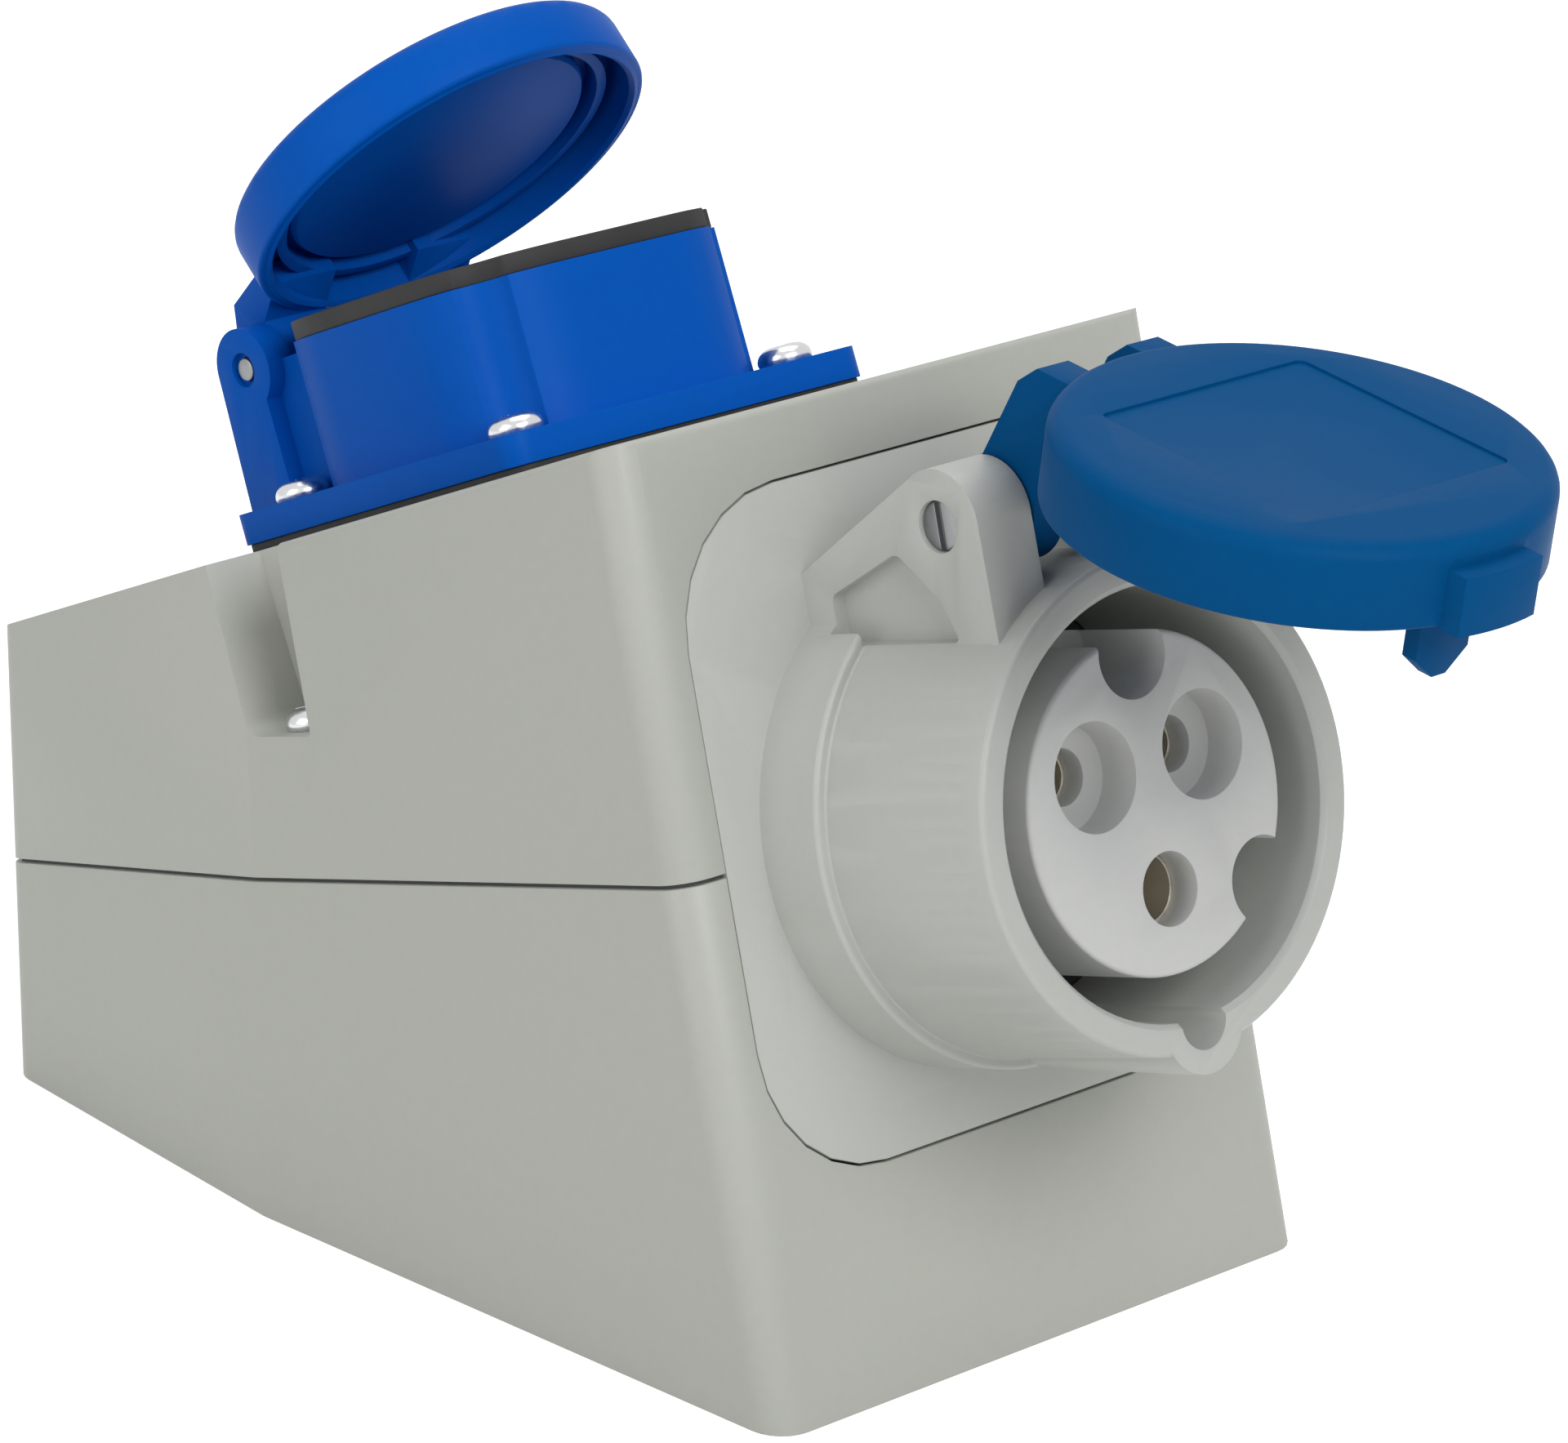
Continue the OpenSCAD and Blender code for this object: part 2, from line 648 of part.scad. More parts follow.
// The pale insert that carries the three contacts
module contact_insert() color(pale) in_socket() difference() {
    union() {
        rotate_extrude() polygon(rounded([[0, insert_back], [insert_r, insert_back], [insert_r, face_h],
            [0, face_h]], [0, 0, 0.6, 0]));
        rod(mouth_r - 0.15, web_lo - insert_flange_t, web_lo);
    }
    for (p = line_at) translate([p.x, p.y, 0]) {
        rod(funnel_r, face_h - funnel_d, face_h + 1);
        rod(face_hole_line, shoulder_line - 1, face_h);
        rod(line_r + tube_t + tube_fit, insert_back - 1, shoulder_line);
    }
    translate([earth_at.x, earth_at.y, 0]) {
        rod(face_hole_earth, shoulder_earth - 1, face_h + 1);
        rod(earth_r + tube_t + tube_fit, insert_back - 1, shoulder_earth);
    }
    for (p = notch_at) translate([p.x, p.y, 0]) rod(notch_r, face_h - notch_d, face_h + 1);
    for (a = [0, 180]) rotate([0, 0, a]) translate([(insert_r + mouth_r) / 2, 0, 0])
        rod(insert_screw_r + 0.2, web_lo - insert_flange_t - 1, web_lo + 1);
    // the sides of the rear part are open round the terminals
    for (a = [90, 210, 330]) rotate([0, 0, a]) translate([insert_r - 3, -4, insert_back - 1]) cube([10,
        8, 9]);
}

module insert_screws() color(steel) in_socket() for (a = [0, 180]) rotate([0, 0, a])
    translate([(insert_r + mouth_r) / 2, 0, web_lo - insert_flange_t]) mirror([0, 0, 1])
    pan_screw(insert_screw_r, insert_flange_t + 1.4, insert_screw_head_r, 1.3, 0.5);

// A turned contact: a tube for the pin, and a barrel behind for the wire
module contact(bore_r, tube_end, barrel_r) color(contact_metal) difference() {
    union() {
        rod(bore_r + tube_t, insert_back - flat, tube_end);
        rod(barrel_r, insert_back - barrel_l, insert_back);
    }
    rod(bore_r, insert_back + 6, tube_end + 1);
    rod(wire_r, insert_back - barrel_l - 1, insert_back - barrel_l + wire_d);
    translate([0, 0, insert_back - barrel_l / 2]) rotate([0, 90, 0]) cylinder(h = far,
        r = clamp_r + screw_fit);
}

module plug_line_contact(i) in_socket() translate([line_at[i].x, line_at[i].y, 0]) rotate([0, 0,
    i == 0 ? 150 : 30])
    contact(line_r, shoulder_line, barrel_line_r);
module plug_earth_contact() in_socket() translate([earth_at.x, earth_at.y, 0]) rotate([0, 0, -90])
    contact(earth_r, shoulder_earth, barrel_earth_r);

// One clamp screw in the side of each barrel
module plug_clamp_screws() color(steel) in_socket()
    for (c = [[150, barrel_line_r], [30, barrel_line_r], [-90, barrel_earth_r]]) rotate([0, 0, c[0]])
        translate([contact_pcd_r + c[1] + 0.6, 0, insert_back - barrel_l / 2]) rotate([0, 90, 0])
        pan_screw(clamp_r, c[1] - wire_r + 0.4, clamp_head_r, 1.4, 0.5);

// The lid of the round socket, drawn shut
module plug_lid() color(deep_blue) in_plug_lid() difference() {
    union() {
        rotate_extrude() polygon(concat([[0, lid_face - lid_top], [dish_r, lid_face - lid_top], [dish_r,
            lid_under],
            [lid_bore_r, lid_under], [lid_bore_r, lid_low]],
            rounded([[lid_r, lid_low], [lid_r, lid_face], [0, lid_face]], [0.4, crown_r, 0])));
        both_sides() socket_side(knuckle_in, lug_x - lug_t - knuckle_gap) lid_arm();
        // the nose that a thumb lifts
        intersection() {
            pipe(lid_r + nose_out, lid_r - 0.5, lid_low, lid_face - arm_top - 1.2);
            translate([-nose_x, -far, 0]) cube([2 * nose_x, far, far]);
        }
        // the hook that holds a plug in
        translate([0, hook_t - hook_r, 0]) rotate([90, 0, 0]) linear_extrude(hook_t) polygon([
            [-hook_x, lid_under + 0.5], [-hook_x, lid_low - hook_reach + hook_point], [-1,
                lid_low - hook_reach],
            [1, lid_low - hook_reach], [hook_x, lid_low - hook_reach + hook_point], [hook_x,
                lid_under + 0.5]]);
    }
    translate([0, 0, lid_face - square_d]) linear_extrude(1) rounded_square(square_side, 1);
    translate([lug_x, hinge_up, hinge_out]) rotate([0, -90, 0]) cylinder(h = 2 * lug_x, r = pin_r + pin_gap);
}

// Side view of the lid's arm: a knuckle round the pin, and the web that carries the lid
module lid_arm() {
    translate([hinge_out, hinge_up]) circle(r = knuckle_r);
    polygon([[hinge_out, hinge_up], [hinge_out, hinge_up - knuckle_r], [lid_low + 0.3, sleeve_foot_r + 0.2],
        [lid_low + 0.3, lid_r - 1.2], [lid_face - arm_top, lid_r - 1.2], [lid_face - arm_top,
            hinge_up - 3.5],
        [lid_face - arm_top - 2.2, hinge_up - 1.1], [hinge_out + 5.6, hinge_up + 2.4], [hinge_out + 2.6,
            hinge_up + 5.2]]);
}

module plug_lid_seal() color(rubber_black) in_plug_lid()
    pipe(lid_bore_r - 0.1, lid_bore_r - seal_w, lid_low, lid_under);

module plug_lid_pin() color(steel) in_socket() translate([0, hinge_up, hinge_out]) rotate([0, 90, 0])
    difference() {
    union() {
        rod(pin_r, -lug_x + 0.4, lug_x - 0.4);
        rod(pin_r + 0.65, -lug_x + 0.4, -lug_x + 1.7);
        rod(pin_r + 0.65, lug_x - 1.7, lug_x - 0.4);
    }
    for (s = [-1, 1]) translate([-far / 2, -0.45, s * (lug_x - 0.4) - 0.7]) cube([far, 0.9, 1.4]);
}

// A torsion spring along X: its coil, and a straight leg at each end
module torsion_spring(coil_r, wire, turns, length, leg_a, leg_b, start) {
    per_turn = 14;
    sides = 8;
    steps = turns * per_turn;
    at = function (t) let (a = start + 360 * t / per_turn)
        [[-length / 2 + length * t / steps, coil_r * cos(a), coil_r * sin(a)], [0, cos(a), sin(a)]];
    run = function (a) [0, -sin(a), cos(a)];
    last = start + 360 * turns;
    path = concat(
        [[at(0)[0] - leg_a * run(start), at(0)[1]]],
        [for (t = [0 : steps]) at(t)],
        [[at(steps)[0] + leg_b * run(last), at(steps)[1]]]);
    rings = [for (p = path) each [for (k = [0 : sides - 1])
        p[0] + wire * (cos(360 * k / sides) * p[1] + sin(360 * k / sides) * [1, 0, 0])]];
    n = len(path);
    polyhedron(rings, concat(
        [[for (k = [0 : sides - 1]) k]],
        [for (i = [0 : n - 2], k = [0 : sides - 1])
            [i * sides + k, (i + 1) * sides + k, (i + 1) * sides + (k + 1) % sides, i * sides + (k + 1)
                % sides]],
        [[for (k = [sides - 1 : -1 : 0]) (n - 1) * sides + k]]));
}

module plug_lid_spring() color(steel) in_plug_lid() translate([0, hinge_up, hinge_out])
    torsion_spring(plug_coil_r, plug_wire_r, 5, plug_coil_l, plug_leg, plug_leg, 200);

// Outline of the household socket's body, inset by g: a flute in each corner clears a screw's head
module body_outline(g) difference() {
    rounded_square(body_side - 2 * g, body_r);
    at_panel_screws() circle(r = flute_r);
}

module at_panel_screws() for (x = [-1, 1], y = [-1, 1])
    translate([x * panel_fix / 2, y * panel_fix / 2]) children();

// Side view of a hinge ear, which stands on the flange behind the screws
module ear_outline() {
    rear = panel_hinge_y + ear_r;
    translate([panel_hinge_y, panel_hinge_z]) circle(r = ear_r);
    polygon([[ear_front, flange_top - 1], [panel_side / 2 - 0.3, flange_top - 1], [rear + 0.7, flange_top],
        [rear, panel_hinge_z], [panel_hinge_y, panel_hinge_z], [ear_front, panel_hinge_z]]);
}

// The thin web that ties an ear to the body, inboard of the screw's head
module ear_web_outline() polygon([[panel_fix / 2 - flute_r, flange_top - 1], [ear_front + 1, flange_top - 1],
    [ear_front + 1, panel_hinge_z], [panel_fix / 2 - flute_r, body_h - 1]]);

// Flange, body with the well, and hinge ears of the household socket
module panel_housing() color(blue) in_panel() difference() {
    union() {
        translate([0, 0, panel_gasket_t]) linear_extrude(panel_t) rounded_square(panel_side, panel_corner_r);
        translate([0, 0, flange_top - flat]) linear_extrude(body_h - flange_top + flat) body_outline(0);
        both_sides() {
            panel_side_view(ear_x - ear_t, ear_x) ear_outline();
            panel_side_view(ear_x - ear_t, ear_x - ear_t + ear_web) ear_web_outline();
        }
    }
    rod(insert_out_r + insert_fit, -1, seat_z);
    difference() {
        rod(well_r, seat_z - 1, body_h + 1);
        // the guides at both sides of the well
        for (s = [-1, 1]) translate([s * guide_x - 1.3, -2.3, well_floor + 0.1]) cube([2.6, 4.6,
            well_d - 2]);
    }
    translate([0, 0, flange_top]) at_panel_screws() rod(panel_screw_r + 0.3, -flange_top, 1);
    translate([-far / 2, panel_hinge_y, panel_hinge_z]) rotate([0, 90, 0])
        cylinder(h = far, r = panel_pin_r + pin_gap);
    both_sides() translate([ear_x - ear_sink, panel_hinge_y, panel_hinge_z]) rotate([0, 90, 0])
        cylinder(h = 2, r = panel_pin_r + 0.6);
}

module panel_gasket() color(rubber_black) in_panel() difference() {
    linear_extrude(panel_gasket_t) rounded_square(panel_side - 0.6, panel_corner_r);
    rod(insert_lip_r + 0.4, -1, panel_gasket_t + 1);
    at_panel_screws() rod(panel_screw_r + 0.4, -1, panel_gasket_t + 1);
}

module panel_seal() color(rubber_black) in_panel() translate([0, 0, body_h]) difference() {
    linear_extrude(panel_seal_t) body_outline(0.2);
    rod(well_r + 0.3, -1, panel_seal_t + 1);
}

// The insert that closes the well from below and carries the contacts
module panel_insert() color(blue) in_panel() difference() {
    union() {
        rod(insert_out_r, insert_low, seat_z);
        rod(well_r - insert_fit, seat_z - flat, well_floor);
        rod(insert_lip_r, panel_gasket_t - insert_lip_t, panel_gasket_t);
    }
    for (s = [-1, 1]) translate([s * pin_pitch / 2, 0, 0]) {
        rod(panel_face_hole, tube_shoulder - 1, well_floor + 1);
        rod(panel_line_r + tube_t + tube_fit, insert_low - 1, tube_shoulder);
    }
    for (s = [-1, 1]) translate([-strap_w / 2 - 0.2, s * (strap_y + strap_t / 2) - strap_t / 2 - 0.15, 0])
        translate([0, 0, insert_low - 1]) cube([strap_w + 0.4, strap_t + 0.3, well_floor - insert_low + 2]);
    rod(centre_r + 0.1, insert_low - 1, well_floor + 1);
}

// A contact of the household socket: a tube, and a block with a wire hole behind
module panel_line_contact(s) color(contact_metal) in_panel() translate([s * pin_pitch / 2, 0, 0])
    difference() {
    union() {
        rod(panel_line_r + tube_t, insert_low - flat, tube_shoulder);
        translate([-block_side / 2, -block_side / 2, insert_low - block_h]) cube([block_side, block_side,
            block_h]);
    }
    rod(panel_line_r, insert_low + 1, tube_shoulder + 1);
    rod(wire_r, insert_low - block_h - 1, insert_low - block_h + wire_d);
    translate([0, 0, insert_low - block_h / 2]) rotate([90, 0, 0]) cylinder(h = block_side,
        r = clamp_r + screw_fit);
}

module panel_clamp_screws() color(steel) in_panel() for (s = [-1, 1])
    translate([s * pin_pitch / 2, -block_side / 2 - 0.6, insert_low - block_h / 2]) rotate([90, 0, 0])
    pan_screw(clamp_r, block_side / 2 - wire_r + 0.4, clamp_head_r, 1.4, 0.5);

// The earth strap: one strip under the cup that comes up both sides of the well
module panel_earth_strap() color(steel) in_panel() difference() {
    mid = (well_floor + strap_top) / 2;
    y0 = strap_y;
    y1 = strap_y + strap_t;
    side = [[y1, insert_low - strap_t], [y1, strap_top], [y0, strap_top], [y0 - hump, mid + 2],
        [y0 - hump, mid - 2], [y0, well_floor + 1.5], [y0, insert_low]];
    panel_side_view(-strap_w / 2, strap_w / 2)
        polygon(concat(side, [for (i = [len(side) - 1 : -1 : 0]) [-side[i].x, side[i].y]]));
    rod(centre_r + 0.1, insert_low - strap_t - 1, insert_low + 1);
}

module panel_centre_screw() color(steel) in_panel() translate([0, 0, well_floor])
    pan_screw(centre_r, well_floor - insert_low + strap_t + 2, centre_head_r, centre_head_h, 0.7);

module panel_screws() color(steel) in_panel() translate([0, 0, flange_top]) at_panel_screws()
    pan_screw(panel_screw_r, flange_top + panel_boss_d - 1, panel_head_r, panel_head_h, 0.8);

// The round lid of the household socket, drawn shut: a dish with a disc and a ring inside
module panel_lid() color(blue) in_panel_lid() difference() {
    union() {
        r_in = panel_lid_r - panel_lid_t;
        under = panel_lid_face - panel_lid_top;
        disc_r = panel_lid_r - disc_in;
        ring_r = panel_lid_r - inner_ring_in;
        rotate_extrude() polygon(concat(
            [[0, under - disc_d], [disc_r, under - disc_d], [disc_r + 0.4, under - disc_d + 0.6],
                [disc_r + 0.4, under], [ring_r - inner_ring_t, under], [ring_r - inner_ring_t,
                    under - inner_ring_d],
                [ring_r, under - inner_ring_d], [ring_r, under], [r_in, under], [r_in,
                    panel_lid_low + 0.5], [r_in + 0.5, panel_lid_low]],
            rounded([[panel_lid_r, panel_lid_low], [panel_lid_r, panel_lid_face], [0, panel_lid_face]],
                [0.6, 1.7, 0])));
        both_sides() panel_side_view(panel_barrel_in, ear_x - ear_t - knuckle_gap) {
            translate([panel_hinge_y, panel_hinge_z]) circle(r = barrel_r);
            polygon([[panel_hinge_y - barrel_r, panel_hinge_z], [panel_hinge_y + barrel_r, panel_hinge_z],
                [panel_hinge_y + barrel_r - 0.6, panel_lid_low + 1.5], [panel_hinge_y, panel_lid_face - 2.5],
                [panel_hinge_y - 8, panel_lid_face - 2.5], [panel_hinge_y - 8, panel_lid_low + 2],
                [panel_hinge_y - barrel_r, panel_lid_low + 0.2]]);
        }
    }
    translate([-ear_x, panel_hinge_y, panel_hinge_z]) rotate([0, 90, 0])
        cylinder(h = 2 * ear_x, r = panel_pin_r + pin_gap);
}

module panel_lid_pin() color(steel) in_panel() translate([0, panel_hinge_y, panel_hinge_z]) rotate([0,
    90, 0])
    rod(panel_pin_r, -ear_x + 0.2, ear_x - 0.2);

module panel_lid_spring() color(steel) in_panel_lid() translate([0, panel_hinge_y, panel_hinge_z])
    torsion_spring(panel_coil_r, panel_wire_r, 8, panel_coil_l, panel_leg, panel_leg, 30);

back_box();
cover();
cover_gasket();
cover_screw(1);  // cover_screw_left
cover_screw(0);  // cover_screw_right
entry_grommet();
plug_sleeve();
sleeve_gasket();
contact_insert();
insert_screws();
plug_line_contact(0);  // plug_line_contact_left
plug_line_contact(1);  // plug_line_contact_right
plug_earth_contact();
plug_clamp_screws();
plug_lid();
plug_lid_seal();
plug_lid_pin();
plug_lid_spring();
panel_housing();
panel_gasket();
panel_seal();
panel_insert();
panel_line_contact(-1);  // panel_line_contact_left
panel_line_contact(1);  // panel_line_contact_right
panel_earth_strap();
panel_centre_screw();
panel_clamp_screws();
panel_screws();
panel_lid();
panel_lid_pin();
panel_lid_spring();
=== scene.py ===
"""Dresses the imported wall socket: a grey surface box with a round industrial socket and a household one.

Lengths are in metres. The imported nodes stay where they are. Each visible moulding is copied with rounded
edges, and springs, screw heads and lid details are modelled as separate pieces that ride on the same bodies.
"""

import json
import logging
import math
from dataclasses import dataclass, field
from enum import Enum
from typing import ClassVar

import bpy
from mathutils import Matrix, Vector

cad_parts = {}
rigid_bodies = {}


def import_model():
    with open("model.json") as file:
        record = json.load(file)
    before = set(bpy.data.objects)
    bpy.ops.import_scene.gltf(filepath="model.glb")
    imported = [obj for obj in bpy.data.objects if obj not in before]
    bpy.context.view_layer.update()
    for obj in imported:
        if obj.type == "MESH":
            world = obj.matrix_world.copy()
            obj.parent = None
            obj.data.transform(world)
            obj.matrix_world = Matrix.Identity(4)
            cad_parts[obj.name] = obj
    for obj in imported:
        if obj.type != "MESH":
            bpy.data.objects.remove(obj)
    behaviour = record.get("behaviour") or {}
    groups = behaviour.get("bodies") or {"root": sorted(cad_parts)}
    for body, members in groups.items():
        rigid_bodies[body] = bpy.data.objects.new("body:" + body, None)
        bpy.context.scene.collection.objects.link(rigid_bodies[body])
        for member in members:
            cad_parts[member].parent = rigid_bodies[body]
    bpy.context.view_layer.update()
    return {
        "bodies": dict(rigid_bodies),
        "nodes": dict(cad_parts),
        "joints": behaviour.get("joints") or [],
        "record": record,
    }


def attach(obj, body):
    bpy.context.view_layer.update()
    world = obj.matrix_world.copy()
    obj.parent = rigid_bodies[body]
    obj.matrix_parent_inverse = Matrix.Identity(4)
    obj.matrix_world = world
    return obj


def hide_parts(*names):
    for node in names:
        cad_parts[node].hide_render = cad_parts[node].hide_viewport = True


LOG = logging.getLogger("wall_socket")
MM = 0.001
MERGE = 0.002 * MM
# The least turn, in degrees, of an edge that a moulding's flat faces keep
FLAT_TURN = 0.6
# The part of a noise's range that its values mostly lie in
NOISE_LOW, NOISE_HIGH = 0.3, 0.7
WHITE = (1.0, 1.0, 1.0, 1.0)
# How far a cutting blade stands past the face that it enters, in millimetres
OVERSHOOT = 0.1

# Sizes and frames of the part, as its source names them
CASE_L = 138.3 * MM
CASE_TILT = 14.0
SEAM_H = 58.8 * MM
FRONT_H = 104.8 * MM
TOP_FALL = 8.8
AXIS_H = 58.8 * MM
PANEL_BACK = 57.4 * MM
HINGE_UP = 32.5 * MM
HINGE_OUT = 22.0 * MM
LID_OPEN = 67.0
PANEL_HINGE_Y = 25.6 * MM
PANEL_HINGE_Z = 20.0 * MM
PANEL_LID_OPEN = 24.2


def turn_x(degrees: float) -> Matrix:
    """Returns a turn about the X axis."""
    return Matrix.Rotation(math.radians(degrees), 4, "X")


def shift(x: float, y: float, z: float) -> Matrix:
    """Returns a move by x, y, z."""
    return Matrix.Translation((x, y, z))


CASE = shift(0, -CASE_L / 2, 0) @ turn_x(-CASE_TILT)
SOCKET = CASE @ shift(0, 0, AXIS_H) @ turn_x(90)
PANEL = CASE @ shift(0, 0, FRONT_H) @ turn_x(-TOP_FALL) @ shift(0, PANEL_BACK, 0)
PLUG_HINGE = SOCKET @ shift(0, HINGE_UP, HINGE_OUT) @ turn_x(-LID_OPEN)
PANEL_HINGE = PANEL @ shift(0, PANEL_HINGE_Y, PANEL_HINGE_Z) @ turn_x(-PANEL_LID_OPEN)
PLUG_LID = PLUG_HINGE @ shift(0, -HINGE_UP, -HINGE_OUT)
PANEL_LID = PANEL_HINGE @ shift(0, -PANEL_HINGE_Y, -PANEL_HINGE_Z)

# Lays a piece that was turned about Z along X
Z_TO_X = Matrix(((0, 0, 1, 0), (1, 0, 0, 0), (0, 1, 0, 0), (0, 0, 0, 1)))


class Body(Enum):
    """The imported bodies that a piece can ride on."""

    HOUSING = "housing"
    PLUG_LID = "plug_lid_body"
    PANEL_LID = "panel_lid_body"


# ---- node trees -------------------------------------------------------------------------------------


def srgb(hex_colour: str, alpha: float = 1.0) -> tuple[float, float, float, float]:
    """Turns an sRGB hex colour to linear light.

    Args:
        hex_colour: The colour as #rrggbb.
        alpha: The fourth value.

    Returns:
        Red, green, blue and alpha.
    """
    parts = [int(hex_colour[i : i + 2], 16) / 255 for i in (1, 3, 5)]
    linear = [c / 12.92 if c <= 0.04045 else ((c + 0.055) / 1.055) ** 2.4 for c in parts]
    return (linear[0], linear[1], linear[2], alpha)


def add_node(tree: bpy.types.NodeTree, kind: str, sets: dict | None = None, **links) -> bpy.types.Node:
    """Adds a node with its settings and links.

    Args:
        tree: The tree that gets the node.
        kind: The node's Blender type.
        sets: Attribute names, or input numbers and names, with their values.
        links: Input names, with _ for a space or i with a number, and the output each takes.

    Returns:
        The new node.
    """
    node = tree.nodes.new(kind)
    for key, value in (sets or {}).items():
        if isinstance(key, int) or key in node.inputs:
            node.inputs[key].default_value = value
        else:
            setattr(node, key, value)
    for key, output in links.items():
        numbered = key[0] == "i" and key[1:].isdigit()
        tree.links.new(output, node.inputs[int(key[1:]) if numbered else key.replace("_", " ")])
    return node


def spread(
    tree: bpy.types.NodeTree, noise: bpy.types.NodeSocket, low: float, high: float
) -> bpy.types.NodeSocket:
    """Stretches the middle of a noise over a range.

    Args:
        tree: The tree that gets the node.
        noise: The noise's output.
        low: The value where the noise is low.
        high: The value where it is high.

    Returns:
        The stretched value's output.
    """
    sets = {"From Min": NOISE_LOW, "From Max": NOISE_HIGH, "To Min": low, "To Max": high}
    return add_node(tree, "ShaderNodeMapRange", sets, Value=noise).outputs[0]


def per_metre(size_mm: float) -> float:
    """Returns the texture scale that gives features of a size in millimetres."""
    return 1.0 / (size_mm * MM)


@dataclass(frozen=True)
class Finish:
    """A surface finish: its colours, gloss, and the size of its grain."""

    name: str
    colour: str
    roughness: float
    grain_mm: float = 0.55
    grain_depth_mm: float = 0.012
    mottle: float = 0.05
    mottle_mm: float = 22.0
    metallic: float = 0.0
    specular: float = 0.5
    edge_mm: float = 0.12
    scuff: float = 0.25

    # What all finishes share: the flecks' size and tone against the grain's, how far the gloss drifts, the
    # tone of a rubbed edge, and the pointiness at which rubbing starts and is full
    FLECK_SIZE: ClassVar[float] = 2.2
    FLECK_TONE: ClassVar[float] = 0.7
    GLOSS_DRIFT: ClassVar[float] = 0.05
    RUBBED_TONE: ClassVar[float] = 1.22
    RUB_START: ClassVar[float] = 0.53
    RUB_FULL: ClassVar[float] = 0.62

    def make(self) -> bpy.types.Material:
        """Returns the finish as a new material."""
        material = bpy.data.materials.new(self.name)
        material.use_nodes = True
        tree = material.node_tree
        tree.nodes.clear()
        colour, rough, normal = self.surface(tree, add_node(tree, "ShaderNodeTexCoord").outputs["Object"])
        shader = add_node(
            tree,
            "ShaderNodeBsdfPrincipled",
            {"Metallic": self.metallic, "Specular IOR Level": self.specular},
            Base_Color=colour,
            Roughness=rough,
            Normal=normal,
        )
        add_node(tree, "ShaderNodeOutputMaterial", Surface=shader.outputs[0])
        material.diffuse_color = srgb(self.colour)
        return material

    def shade(self, factor: float) -> tuple[float, float, float, float]:
        """Returns the finish's colour made lighter or darker by a factor."""
        return tuple(min(1.0, c * factor) for c in srgb(self.colour)[:3]) + (1.0,)

    def surface(self, tree: bpy.types.NodeTree, place: bpy.types.NodeSocket) -> tuple:
        """Builds colour, roughness and normal for a moulded surface.

        Args:
            tree: The material's tree.
            place: The object coordinates.

        Returns:
            The outputs for colour, roughness and normal.
        """
        cloud = add_node(
            tree, "ShaderNodeTexNoise", {"Scale": per_metre(self.mottle_mm), "Detail": 3.0}, Vector=place
        )
        fleck = add_node(
            tree,
            "ShaderNodeTexNoise",
            {"Scale": per_metre(self.grain_mm * self.FLECK_SIZE), "Detail": 2.0},
            Vector=place,
        )
        tone = add_node(
            tree,
            "ShaderNodeMix",
            {"data_type": "RGBA", 6: self.shade(1 - self.mottle), 7: self.shade(1 + self.mottle)},
            i0=cloud.outputs[0],
        )
        swing = self.mottle * self.FLECK_TONE
        speck = spread(tree, fleck.outputs[0], 1 - swing, 1 + swing)
        flecked = add_node(
            tree, "ShaderNodeVectorMath", {"operation": "SCALE"}, i0=tone.outputs[2], Scale=speck
        )
        rubbed = self.rubbed(tree, cloud.outputs[0])
        colour = add_node(
            tree,
            "ShaderNodeMix",
            {"data_type": "RGBA", 7: self.shade(self.RUBBED_TONE)},
            i0=rubbed,
            i6=flecked.outputs[0],
        )
        low, high = self.roughness - self.GLOSS_DRIFT, self.roughness + self.GLOSS_DRIFT
        rough = spread(tree, cloud.outputs[0], low, high)
        grain = add_node(
            tree, "ShaderNodeTexNoise", {"Scale": per_metre(self.grain_mm), "Detail": 2.5}, Vector=place
        )
        return colour.outputs[2], rough, self.relief(tree, grain.outputs[0])

    def rubbed(self, tree: bpy.types.NodeTree, patches: bpy.types.NodeSocket) -> bpy.types.NodeSocket:
        """Returns where edges are rubbed paler, in patches."""
        geometry = add_node(tree, "ShaderNodeNewGeometry")
        edge = add_node(
            tree,
            "ShaderNodeMapRange",
            {"From Min": self.RUB_START, "From Max": self.RUB_FULL, "To Min": 0.0, "To Max": self.scuff},
            Value=geometry.outputs["Pointiness"],
        )
        return add_node(
            tree, "ShaderNodeMath", {"operation": "MULTIPLY"}, i0=edge.outputs[0], i1=patches
        ).outputs[0]

    def relief(self, tree: bpy.types.NodeTree, height: bpy.types.NodeSocket) -> bpy.types.NodeSocket:
        """Returns a normal with the grain's relief and slightly rounded edges."""
        edge = add_node(tree, "ShaderNodeBevel", {"samples": 4, "Radius": self.edge_mm * MM})
        bump = add_node(
            tree,
            "ShaderNodeBump",
            {"Strength": 1.0, "Distance": self.grain_depth_mm * MM},
            Height=height,
            Normal=edge.outputs[0],
        )
        return bump.outputs[0]


